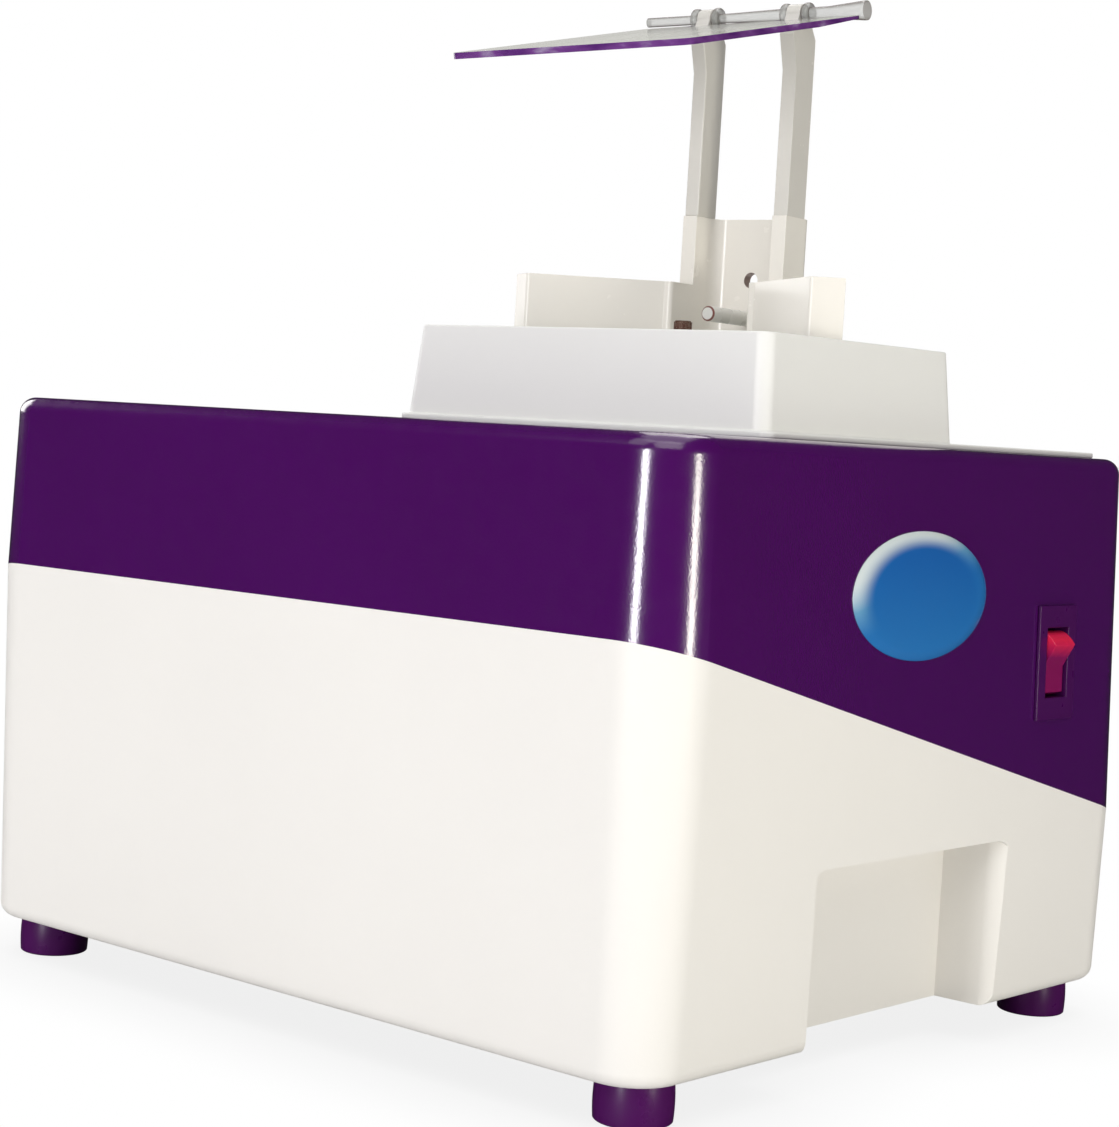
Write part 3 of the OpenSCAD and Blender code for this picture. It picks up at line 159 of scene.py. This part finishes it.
# Distance from a line that runs front to back in the guard's frame, through the point given
def guardLineRadius(tree, point):
    flat = coordsFrom(tree, origin=tuple(point), turn=math.radians(-place["guardTurn"]))
    squash = tree.nodes.new("ShaderNodeVectorMath")
    squash.operation = "MULTIPLY"
    squash.inputs[1].default_value = (1, 0, 1)
    length = tree.nodes.new("ShaderNodeVectorMath")
    length.operation = "LENGTH"
    tree.links.new(flat, squash.inputs[0])
    tree.links.new(squash.outputs["Vector"], length.inputs[0])
    return length.outputs["Value"], axisOf(tree, flat, "Y")


def bump(tree, shader, height, strength, distance):
    node = tree.nodes.new("ShaderNodeBump")
    node.inputs["Strength"].default_value = strength
    node.inputs["Distance"].default_value = distance
    tree.links.new(height, node.inputs["Height"])
    tree.links.new(node.outputs["Normal"], shader.inputs["Normal"])
    return node.outputs["Normal"]


# The middle of a noise's range, which is what a finish spreads over its own values
noiseBand = (0.3, 0.7)


def shadesOver(tree, noise, dark, light):
    return colourRamp(tree, noise, list(zip(noiseBand, (dark, light))))


# Roughness swings about a finish's own value, from its smooth share to its dull one
def roughnessOver(tree, shader, noise, look):
    low, high = look["rough"] * look["smooth"], look["rough"] * look["dull"]
    tree.links.new(mapRange(tree, noise, *noiseBand, low, high), shader.inputs["Roughness"])


# Paints a colour over the piece's own where the mask is 1
def paintOver(tree, shader, mask, colour):
    plain = shader.inputs["Base Color"].links[0].from_socket
    tree.links.new(mixColour(tree, mask, plain, colour), shader.inputs["Base Color"])


# What a plastic or a metal has unless its own dictionary says otherwise
plasticSkin = {
    "flow": 9, "glossScale": 140, "grainScale": 2600, "grainDepth": 0.00004,
    "smooth": 0.88, "dull": 1.15, "specular": 0.5, "coat": 0.0, "coatRough": 0.06,
}
metalSkin = {
    "scale": 500, "stretch": (1, 1, 1), "grain": 0.2, "grainDepth": 0.00006,
    "dark": 0.84, "smooth": 0.75, "dull": 1.3,
}


# Moulded plastic or rubber: a slow drift in the colour, uneven gloss and the mould's fine skin
def moulded(name, look):
    look = {**plasticSkin, **look}
    material, tree, shader = newMaterial(name)
    drift = noiseOn(tree, look["flow"], 4)
    dark = tuple(c * (1 - look["spread"]) for c in look["colour"])
    light = tuple(min(1, c * (1 + look["spread"])) for c in look["colour"])
    tree.links.new(shadesOver(tree, drift, dark, light), shader.inputs["Base Color"])
    roughnessOver(tree, shader, noiseOn(tree, look["glossScale"], 3), look)
    shader.inputs["Specular IOR Level"].default_value = look["specular"]
    shader.inputs["Coat Weight"].default_value = look["coat"]
    shader.inputs["Coat Roughness"].default_value = look["coatRough"]
    skin = noiseOn(tree, look["grainScale"], 2)
    normal = bump(tree, shader, skin, look["grain"], look["grainDepth"])
    tree.links.new(normal, shader.inputs["Coat Normal"])
    return material, tree, shader


# Turned, rolled or cast metal, its lines drawn out along one way
def metal(name, look):
    look = {**metalSkin, **look}
    material, tree, shader = newMaterial(name)
    lines = noiseOn(tree, look["scale"], 4, look["stretch"], 0.6)
    dark = tuple(c * look["dark"] for c in look["colour"])
    tree.links.new(shadesOver(tree, lines, dark, look["colour"]), shader.inputs["Base Color"])
    roughnessOver(tree, shader, lines, look)
    shader.inputs["Metallic"].default_value = 1
    bump(tree, shader, lines, look["grain"], look["grainDepth"])
    return material, tree, shader


plastics = {
    "purple_shell": dict(
        colour=(0.062, 0.0014, 0.102), rough=0.23, spread=0.05,
        grain=0.5, grainScale=1300, grainDepth=0.00008, coat=1.0, coatRough=0.085),
    "purple_bezel": dict(
        colour=(0.062, 0.0030, 0.090), rough=0.30, spread=0.06, grain=0.3),
    "white_shell": dict(
        colour=(0.87, 0.85, 0.815), rough=0.42, spread=0.012,
        grain=0.3, grainScale=900, grainDepth=0.00006, specular=0.3),
    # Foot rubber: its own purple, lifted a little as painted light against the shade under the housing
    "foot_rubber": dict(
        colour=(0.074, 0.0030, 0.098), rough=0.30, spread=0.06, grain=0.3, grainScale=1800),
    "black_plastic": dict(
        colour=(0.012, 0.010, 0.013), rough=0.36, spread=0.1, grain=0.3),
    "painted_steel": dict(
        colour=(0.035, 0.037, 0.042), rough=0.42, spread=0.12, grain=0.4, grainScale=900),
    "winding_copper": dict(
        colour=(0.42, 0.13, 0.04), rough=0.25, spread=0.25, grain=0.5, grainScale=700, flow=200),
    "seal_rubber": dict(
        colour=(0.015, 0.015, 0.015), rough=0.5, spread=0.1, grain=0.3),
    "tray_white": dict(
        colour=(0.88, 0.88, 0.855), rough=0.38, spread=0.012, grain=0.05),
    "grid_white": dict(
        colour=(0.82, 0.83, 0.80), rough=0.36, spread=0.015, grain=0.15),
}
metals = {
    "steel_sheet": dict(colour=(0.55, 0.56, 0.58), rough=0.34, stretch=(1, 12, 1)),
    "zinc_screw": dict(colour=(0.66, 0.67, 0.68), rough=0.3),
    "brass": dict(colour=(0.72, 0.50, 0.22), rough=0.3),
    "cast_metal": dict(colour=(0.55, 0.56, 0.58), rough=0.45, scale=900, grain=0.5),
    "core_steel": dict(colour=(0.34, 0.35, 0.38), rough=0.4, stretch=(1, 1, 14)),
    "bright_steel": dict(colour=(0.74, 0.75, 0.77), rough=0.16),
}
finish = {name: moulded(name, look)[0] for name, look in plastics.items()}
finish.update({name: metal(name, look)[0] for name, look in metals.items()})

# Guard: cream plastic; the drilled hole's wall and rim carry painted shade
guardLook = dict(colour=(0.86, 0.83, 0.77), rough=0.24, spread=0.014, grain=0.08)
holeShade = {"colour": (0.20, 0.075, 0.06), "holeZ": 23.9, "rim": 2.95, "soft": 0.25}
finish["guard_white"], tree, shader = moulded("guard_white", guardLook)
hole = guardPoint(0, place["guardBack"], place["gridTop"] + holeShade["holeZ"])
radius, _ = guardLineRadius(tree, hole)
# Painted shade: dark red-brown within the rim's radius of the hole's axis
holeShadeMask = mapRange(tree, radius, (holeShade["rim"] - holeShade["soft"]) * mm, holeShade["rim"] * mm, 1, 0)
paintOver(tree, shader, holeShadeMask, holeShade["colour"])

# Arms: the same plastic, darkened as painted shade where less light reaches them
finish["arm_white_shaded"] = moulded("arm_white_shaded", dict(guardLook, colour=(0.70, 0.68, 0.635)))[0]

# Peg: grey-white rod with a ring of painted shade round its chamfered end
pegLook = dict(colour=(0.70, 0.70, 0.67), rough=0.28, spread=0.02, grain=0.08)
pegShadeRing = {"colour": (0.17, 0.045, 0.035), "z": 9.8, "inner": 2.05, "outer": 2.25, "depth": 0.5, "soft": 0.15}
finish["peg_plastic"], tree, shader = moulded("peg_plastic", pegLook)
pegEnd = guardPoint(0, place["cheekFront"], place["gridTop"] + pegShadeRing["z"])
radius, depth = guardLineRadius(tree, pegEnd)
# Painted shade: the dark ring on the chamfer, just behind the peg's end
outside = mapRange(tree, radius, pegShadeRing["inner"] * mm, pegShadeRing["outer"] * mm, 0, 1)
nearEnd = mapRange(tree, depth, pegShadeRing["depth"] * mm, (pegShadeRing["depth"] + pegShadeRing["soft"]) * mm, 1, 0)
paintOver(tree, shader, maths(tree, "MULTIPLY", outside, nearEnd), pegShadeRing["colour"])

# Rocker: a painted highlight, red at the raised upper end where the light falls, running into crimson, with
# an uneven border
rockerLook = dict(colour=(0.35, 0.006, 0.045), rough=0.16, spread=0.08, grain=0.04, flow=60, coat=0.5)
rockerHighlight = {
    "low": 134, "high": 145, "uneven": 0.12, "noise": 260,
    "crimson": (0.35, (0.23, 0.006, 0.095)), "red": (0.95, (0.86, 0.020, 0.085)),
}
finish["rocker_red"], tree, shader = moulded("rocker_red", rockerLook)
rockerZ = axisOf(tree, coordsFrom(tree), "Z")
height = mapRange(tree, rockerZ, rockerHighlight["low"] * mm, rockerHighlight["high"] * mm, 0, 1)
wander = noiseOn(tree, rockerHighlight["noise"], 3)
wander = mapRange(tree, wander, 0, 1, -rockerHighlight["uneven"], rockerHighlight["uneven"])
paintedHighlight = colourRamp(tree, maths(tree, "ADD", height, wander), [rockerHighlight["crimson"], rockerHighlight["red"]])
tree.links.new(paintedHighlight, shader.inputs["Base Color"])

# Clear plastic of the rod and collars: seen through in the middle, grey towards the outline as painted shade
rodLook = {
    "middle": (0.62, 0.63, 0.60), "outline": (0.20, 0.17, 0.16), "turnsGrey": (0.15, 0.75),
    "alpha": (0.38, 0.92), "streaks": 420, "rough": 0.12, "smooth": 0.6, "dull": 1.6,
}
finish["clear_plastic"], tree, shader = newMaterial("clear_plastic")
outline = mapRange(tree, facingOf(tree), *rodLook["turnsGrey"], 0, 1, True)
tree.links.new(mixColour(tree, outline, rodLook["middle"], rodLook["outline"]), shader.inputs["Base Color"])
tree.links.new(mapRange(tree, outline, 0, 1, *rodLook["alpha"]), shader.inputs["Alpha"])
roughnessOver(tree, shader, noiseOn(tree, rodLook["streaks"], 3, (1, 0.15, 1)), rodLook)

# Clear plate: nearly clear face on; grey and hazy along its face, partly the plastic's haze and partly
# painted reflection; violet in its cut edges, with painted glints
plateLook = {
    "slope": 13.3, "faceUp": (0.80, 0.93), "face": (0.62, 0.635, 0.585), "faceDull": 0.9,
    "turnsHazyAndReflecting": (0.45, 0.95), "hazeAndReflection": (0.16, 0.92),
    "edge": [(0.34, (0.085, 0.018, 0.150)), (0.58, (0.165, 0.052, 0.240)), (0.80, (0.42, 0.36, 0.50))],
    "rough": 0.10, "smooth": 0.7, "dull": 1.5, "specular": 0.3,
}
plateMaterial, tree, shader = newMaterial("clear_plate")
slope, turn = math.radians(plateLook["slope"]), math.radians(place["guardTurn"])
plateUp = (math.sin(slope) * math.sin(turn), -math.sin(slope) * math.cos(turn), math.cos(slope))
coords = tree.nodes.new("ShaderNodeTexCoord")
dot = tree.nodes.new("ShaderNodeVectorMath")
dot.operation = "DOT_PRODUCT"
dot.inputs[1].default_value = plateUp
tree.links.new(coords.outputs["Normal"], dot.inputs[0])
onFace = mapRange(tree, maths(tree, "ABSOLUTE", dot.outputs["Value"]), *plateLook["faceUp"], 0, 1)
hazeAndReflection = mapRange(tree, facingOf(tree), *plateLook["turnsHazyAndReflecting"], *plateLook["hazeAndReflection"], True)
alpha = maths(tree, "MAXIMUM", hazeAndReflection, maths(tree, "SUBTRACT", 1.0, onFace))  # nothing shows through the edges
tree.links.new(alpha, shader.inputs["Alpha"])
bands = noiseOn(tree, 70, 4, (1, 1, 3))
smear = noiseOn(tree, 40, 3, (1, 0.3, 1))
dullFace = tuple(c * plateLook["faceDull"] for c in plateLook["face"])
face = shadesOver(tree, smear, dullFace, plateLook["face"])
# The edge runs from deep to paler violet; its palest, lilac stop is painted glints
edge = colourRamp(tree, bands, plateLook["edge"])
tree.links.new(mixColour(tree, onFace, edge, face), shader.inputs["Base Color"])
roughnessOver(tree, shader, smear, plateLook)
shader.inputs["Specular IOR Level"].default_value = plateLook["specular"]

# Bit: coarse diamond grains in a bronze bond
bitLook = {
    "bond": (0.10, 0.035, 0.022), "grain": (0.42, 0.33, 0.26), "grainScale": 2400, "grainEdge": (0.15, 0.45),
    "bondRough": 0.6, "grainRough": 0.3, "metallic": 0.4, "relief": 0.8, "reliefDepth": 0.0001,
}
finish["bit_bond"], tree, shader = newMaterial("bit_bond")
cells = tree.nodes.new("ShaderNodeTexVoronoi")
cells.inputs["Scale"].default_value = bitLook["grainScale"]
tree.links.new(coordsFrom(tree), cells.inputs["Vector"])
grains = mapRange(tree, cells.outputs["Distance"], *bitLook["grainEdge"], 1, 0)
tree.links.new(mixColour(tree, grains, bitLook["bond"], bitLook["grain"]), shader.inputs["Base Color"])
rough = mapRange(tree, grains, 0, 1, bitLook["bondRough"], bitLook["grainRough"])
tree.links.new(rough, shader.inputs["Roughness"])
shader.inputs["Metallic"].default_value = bitLook["metallic"]
bump(tree, shader, grains, bitLook["relief"], bitLook["reliefDepth"])

piecesDressed = {"left_arm": "arm_white_shaded", "right_arm": "arm_white_shaded"}
for part in frame["record"]["subparts"]:
    name = part["node"]
    mesh = nodes[name].data
    mesh.materials.clear()
    if name == "shield_plate":
        mesh.materials.append(plateMaterial)
    elif name != "badge":
        mesh.materials.append(finish[piecesDressed.get(name, part["material_slot"])])
print("materials ready")

# Rounding of the CAD pieces: weld distance in metres, angles in degrees, widths in millimetres
rounding = {"weld": 0.000002, "flatAngle": 0.4, "sharpAngle": 32, "segments": 3, "weight": 60}
edgeWidths = {
    "upper_housing": 0.5, "lower_housing": 0.5, "water_tray": 0.6, "work_grid": 0.35,
    "splash_guard": 0.55, "left_arm": 0.5, "right_arm": 0.5, "switch_frame": 0.4,
    "switch_rocker": 0.5, "gland_nut": 0.4, "base_plate": 0.3, "shield_plate": 0.2,
}


# Joins the split corners, merges flat faces, rounds the sharp edges and evens the shading
def polish(name, width):
    piece = nodes[name]
    weld = piece.modifiers.new("weld", "WELD")
    weld.merge_threshold = rounding["weld"]
    flat = piece.modifiers.new("flat", "DECIMATE")
    flat.decimate_type = "DISSOLVE"
    flat.angle_limit = math.radians(rounding["flatAngle"])
    edgeRound = piece.modifiers.new("edge", "BEVEL")
    edgeRound.width = width
    edgeRound.segments = rounding["segments"]
    edgeRound.limit_method = "ANGLE"
    edgeRound.angle_limit = math.radians(rounding["sharpAngle"])
    edgeRound.use_clamp_overlap = True
    shade = piece.modifiers.new("shade", "WEIGHTED_NORMAL")
    shade.weight = rounding["weight"]
    shade.keep_sharp = False


for name, width in edgeWidths.items():
    polish(name, width * mm)
print("CAD pieces dressed")


# Closed skin from a grid of rings: quads between rings, a fan over each end
def ringMesh(name, rings, material, body, stands):
    count, around, _ = rings.shape
    ends = np.stack([rings[0].mean(axis=0), rings[-1].mean(axis=0)])
    points = np.concatenate([rings.reshape(-1, 3), ends])
    i, j = np.meshgrid(np.arange(count - 1), np.arange(around), indexing="ij")
    a, b = i * around + j, i * around + (j + 1) % around
    quads = np.stack([a, b, b + around, a + around], axis=-1).reshape(-1, 4)
    k = np.arange(around)
    first = np.stack([(k + 1) % around, k, np.full(around, count * around)], axis=-1)
    top = (count - 1) * around
    last = np.stack([top + k, top + (k + 1) % around, np.full(around, count * around + 1)], axis=-1)
    mesh = bpy.data.meshes.new(name)
    mesh.from_pydata(points.tolist(), [], quads.tolist() + first.tolist() + last.tolist())
    mesh.polygons.foreach_set("use_smooth", np.ones(len(mesh.polygons), dtype=bool))
    mesh.materials.append(material)
    piece = bpy.data.objects.new(name, mesh)
    scene.collection.objects.link(piece)
    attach(piece, body)
    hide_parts(stands)
    return piece


# Badge: a blank oval dome on the right wall, in millimetres
badge = {
    "width": 82, "height": 43, "thick": 1.8, "y": -8.5, "z": 147, "lift": 0.05, "rings": 44, "around": 144,
    "rimShare": 0.17, "rimHeight": 1.25, "rimCurve": 0.75, "spacing": 0.8, "foot": 0.15, "smallest": 0.004,
}
wall = {"halfWidth": 165, "draft": 1.6, "front": 134, "rear": 62, "depth": 287, "under": 14}


# Frame on the leaning right wall: columns run back, up and out. The wall leans from the parting
# line, whose height falls from front to rear
def wallFrame(y, z):
    fall = (wall["rear"] - wall["front"]) / wall["depth"]
    partingZ = wall["under"] + (wall["front"] + wall["rear"]) / 2 + fall * y
    lean = math.tan(math.radians(wall["draft"]))
    toRear = Matrix.Rotation(math.atan(-lean * fall), 4, "Z")
    toLean = Matrix.Rotation(-math.radians(wall["draft"]), 4, "Y")
    axes = toRear @ toLean @ Matrix(((0, 0, 1, 0), (1, 0, 0, 0), (0, 1, 0, 0), (0, 0, 0, 1)))
    wallX = place["housingX"] + wall["halfWidth"] - lean * (z - partingZ)
    axes.translation = Vector((wallX, y, z)) * mm
    return axes


# Rings of the oval from its outline to its middle. Height is a power of a quarter sine across the rim,
# plus a crown that falls with the square of the distance from the middle
def badgeRings(size):
    share = np.concatenate([[1.0], np.cos(np.linspace(0, np.pi / 2, size["rings"] - 1)) ** size["spacing"]])
    share = np.maximum(share, size["smallest"])
    inner = 1 - size["rimShare"]
    rim = np.clip((1 - share) / size["rimShare"], 0, 1)
    edge = size["rimHeight"] * np.sin(rim * np.pi / 2) ** size["rimCurve"]
    crown = (size["thick"] - size["rimHeight"]) * (1 - np.clip(share / inner, 0, 1) ** 2)
    height = edge + crown
    height[:2] = 0.0, size["foot"]
    angle = np.linspace(0, 2 * np.pi, size["around"], endpoint=False)
    x = np.outer(share, np.cos(angle)) * size["width"] / 2
    y = np.outer(share, np.sin(angle)) * size["height"] / 2
    z = np.repeat((height + size["lift"])[:, None], size["around"], axis=1)
    local = np.stack([x, y, z], axis=-1) * mm
    axes = np.array(wallFrame(size["y"], wall["under"] + size["z"]))
    return local @ axes[:3, :3].T + axes[:3, 3]


# Its plastic: deep blue in the middle, lighter towards its bottom; a painted highlight, pale blue to cream,
# along the upper rim
badgeLook = {
    "deep": (0.008, 0.112, 0.42), "mid": (0.018, 0.175, 0.50), "pale": (0.16, 0.40, 0.60),
    "cream": (0.80, 0.87, 0.84), "rimFrom": (0.72, 0.97), "rimCover": 0.85,
    "paleUp": 0.9, "paleFront": 0.55, "paleFrom": (-0.15, 0.85),
    "gloss": (0.17, 0.27), "coat": 0.6, "coatRough": 0.08, "grain": 0.08, "grainDepth": 0.00004,
}
finish["badge_blue"], tree, shader = newMaterial("badge_blue")
seat = wallFrame(badge["y"], wall["under"] + badge["z"]).translation
local = coordsFrom(tree, origin=tuple(seat))
halfWidth, halfHeight = badge["width"] / 2 * mm, badge["height"] / 2 * mm
across = mapRange(tree, axisOf(tree, local, "Y"), -halfWidth, halfWidth, -1, 1)
upward = mapRange(tree, axisOf(tree, local, "Z"), -halfHeight, halfHeight, -1, 1)
squares = [maths(tree, "POWER", way, 2.0) for way in (across, upward)]
away = maths(tree, "SQRT", maths(tree, "ADD", *squares))
rimHighlightBand = mapRange(tree, away, *badgeLook["rimFrom"], 0, 1, True)
upShare = maths(tree, "MULTIPLY", upward, badgeLook["paleUp"])
frontShare = maths(tree, "MULTIPLY", across, badgeLook["paleFront"])
highlightSide = mapRange(tree, maths(tree, "SUBTRACT", upShare, frontShare), *badgeLook["paleFrom"], 0, 1, True)
fromBottom = mapRange(tree, upward, -1.0, 1.0, 0, 1)
middleTone = colourRamp(tree, fromBottom, [(0.1, badgeLook["mid"]), (0.9, badgeLook["deep"])])
# Painted highlight along the upper rim, strongest towards the top and the rear
rimHighlightStops = [(0.0, badgeLook["mid"]), (0.45, badgeLook["pale"]), (0.95, badgeLook["cream"])]
rimHighlight = colourRamp(tree, highlightSide, rimHighlightStops)
rimHighlightCover = maths(tree, "MULTIPLY", rimHighlightBand, badgeLook["rimCover"])
tree.links.new(mixColour(tree, rimHighlightCover, middleTone, rimHighlight), shader.inputs["Base Color"])
gloss = mapRange(tree, noiseOn(tree, 34, 3), *noiseBand, *badgeLook["gloss"])
tree.links.new(gloss, shader.inputs["Roughness"])
shader.inputs["Coat Weight"].default_value = badgeLook["coat"]
shader.inputs["Coat Roughness"].default_value = badgeLook["coatRough"]
bump(tree, shader, noiseOn(tree, 1500, 2), badgeLook["grain"], badgeLook["grainDepth"])
ringMesh("badge_dome", badgeRings(badge), finish["badge_blue"], "housing", "badge")
print("badge made")

# Camera: eye, sight line and roll; the focal length in pixels of the frame's width
lens = {
    "eye": (0.59519, -0.69436, 0.20728), "forward": (-0.65239, 0.75604, -0.05279), "turn": 40.791,
    "roll": -3.313, "sensor": 36, "focalPixels": 2427.52, "framePixels": 1119, "near": 0.05, "far": 50,
}
forward = Vector(lens["forward"]).normalized()
right = Vector((math.cos(math.radians(lens["turn"])), math.sin(math.radians(lens["turn"])), 0))
up = right.cross(forward)
roll = math.radians(lens["roll"])
columns = [
    right * math.cos(roll) - up * math.sin(roll),
    right * math.sin(roll) + up * math.cos(roll),
    -forward,
]
columns = [column.normalized() for column in columns]
cameraData = bpy.data.cameras.new("camera")
camera = bpy.data.objects.new("camera", cameraData)
scene.collection.objects.link(camera)
rows = [[*(column[i] for column in columns), lens["eye"][i]] for i in range(3)]
camera.matrix_world = Matrix(rows + [[0, 0, 0, 1]])
cameraData.sensor_fit = "HORIZONTAL"
cameraData.sensor_width = lens["sensor"]
cameraData.lens = lens["sensor"] * lens["focalPixels"] / lens["framePixels"]
cameraData.clip_start = lens["near"]
cameraData.clip_end = lens["far"]
scene.camera = camera

# Soft boxes: azimuth and elevation from the aim, distance, width and height, power, colour
softBoxes = {
    "frontBox": dict(
        aim=(0.06, -0.12, 0.12), azimuth=-87, elevation=4, distance=2.2,
        size=(0.42, 0.68), power=19.5, colour=(0.975, 0.97, 1.0)),
    "sideBox": dict(
        aim=(0.165, -0.11, 0.12), azimuth=1, elevation=1, distance=0.72,
        size=(0.135, 0.24), power=1.85, colour=(1, 0.965, 0.86)),
    "eyeBox": dict(
        aim=(0.06, 0, 0.12), azimuth=-52, elevation=42, distance=2.2,
        size=(1.5, 1.5), power=12.0, colour=(1, 0.985, 0.955)),
    "highBox": dict(
        aim=(0.03, -0.05, 0.24), azimuth=-112, elevation=45, distance=2.0,
        size=(1.2, 1.2), power=4.2, colour=(1, 0.99, 0.97)),
    "leftBox": dict(
        aim=(-0.165, 0, 0.12), azimuth=180, elevation=20, distance=1.6,
        size=(0.8, 0.8), power=6.5, colour=(1, 0.99, 0.97)),
    "topBox": dict(
        aim=(0, 0, 0.2), azimuth=-60, elevation=78, distance=2.2,
        size=(2.0, 2.0), power=12, colour=(1, 1, 1)),
    "rearBox": dict(
        aim=(0, 0, 0.15), azimuth=120, elevation=62, distance=2.4,
        size=(1.4, 1.4), power=20, colour=(1, 0.98, 0.96)),
    "shieldBox": dict(
        aim=(0.06, 0.02, 0.36), azimuth=131, elevation=14, distance=2.4,
        size=(0.75, 0.42), power=0.62, colour=(1, 0.99, 0.93)),
}
for name, box in softBoxes.items():
    data = bpy.data.lights.new(name, "AREA")
    data.shape = "RECTANGLE"
    data.size, data.size_y = box["size"]
    data.energy = box["power"]
    data.color = box["colour"]
    lamp = bpy.data.objects.new(name, data)
    scene.collection.objects.link(lamp)
    a, e = math.radians(box["azimuth"]), math.radians(box["elevation"])
    away = Vector((math.cos(a) * math.cos(e), math.sin(a) * math.cos(e), math.sin(e)))
    lamp.location = Vector(box["aim"]) + away * box["distance"]
    lamp.rotation_euler = away.to_track_quat("Z", "Y").to_euler()


# One shader for rays from the camera or through clear plastic, one for mirror rays, one for the rest
def mixByRay(tree, seen, mirrored, lit):
    rays = tree.nodes.new("ShaderNodeLightPath")
    clear = maths(tree, "MAXIMUM", rays.outputs["Is Camera Ray"], rays.outputs["Is Transmission Ray"])
    mixMirror = tree.nodes.new("ShaderNodeMixShader")
    mixSeen = tree.nodes.new("ShaderNodeMixShader")
    tree.links.new(rays.outputs["Is Glossy Ray"], mixMirror.inputs["Fac"])
    tree.links.new(lit, mixMirror.inputs[1])
    tree.links.new(mirrored, mixMirror.inputs[2])
    tree.links.new(clear, mixSeen.inputs["Fac"])
    tree.links.new(mixMirror.outputs["Shader"], mixSeen.inputs[1])
    tree.links.new(seen, mixSeen.inputs[2])
    return mixSeen.outputs["Shader"]


def glow(tree, kind, level):
    node = tree.nodes.new(kind)
    node.inputs["Color"].default_value = (1, 1, 1, 1)
    node.inputs["Strength"].default_value = level
    return node


# Studio: brightness of the world and the floor for each kind of ray, the floor's paper colour, and the
# painted contact shadow on the floor: its darkest level, reach and range
studio = {
    "seen": 1.0, "mirrored": 0.02, "lit": 0.20, "floor": 0.86, "floorMirrored": 0.018,
    "shade": 0.86, "paintedShadowReach": 0.06, "paintedShadowFrom": (0.2, 0.95), "halfFloor": 6,
}
world = bpy.data.worlds.new("studio")
scene.world = world
world.use_nodes = True
tree = world.node_tree
tree.nodes.clear()
out = tree.nodes.new("ShaderNodeOutputWorld")
levels = [glow(tree, "ShaderNodeBackground", studio[key]) for key in ("seen", "mirrored", "lit")]
tree.links.new(mixByRay(tree, *(level.outputs[0] for level in levels)), out.inputs["Surface"])

half = studio["halfFloor"]
corners = [(-half, -half, 0), (half, -half, 0), (half, half, 0), (-half, half, 0)]
floorMesh = bpy.data.meshes.new("floor")
floorMesh.from_pydata(corners, [], [(0, 1, 2, 3)])
floor = bpy.data.objects.new("floor", floorMesh)
scene.collection.objects.link(floor)
floorLook = bpy.data.materials.new("floor_paper")
floorLook.use_nodes = True
tree = floorLook.node_tree
tree.nodes.clear()
out = tree.nodes.new("ShaderNodeOutputMaterial")
paper = tree.nodes.new("ShaderNodeBsdfDiffuse")
paper.inputs["Color"].default_value = (studio["floor"],) * 3 + (1,)
white = glow(tree, "ShaderNodeEmission", studio["seen"])
# Painted contact shadow: the white the camera sees dims where ambient occlusion finds the object near
paintedContactShadow = tree.nodes.new("ShaderNodeAmbientOcclusion")
paintedContactShadow.inputs["Distance"].default_value = studio["paintedShadowReach"]
shade = mapRange(tree, paintedContactShadow.outputs["AO"], *studio["paintedShadowFrom"], studio["shade"], studio["seen"])
tree.links.new(shade, white.inputs["Strength"])
dim = glow(tree, "ShaderNodeEmission", studio["floorMirrored"])
floorShader = mixByRay(tree, white.outputs[0], dim.outputs[0], paper.outputs[0])
tree.links.new(floorShader, out.inputs["Surface"])
floorMesh.materials.append(floorLook)

scene.view_settings.view_transform = "Standard"
print("camera and light set")
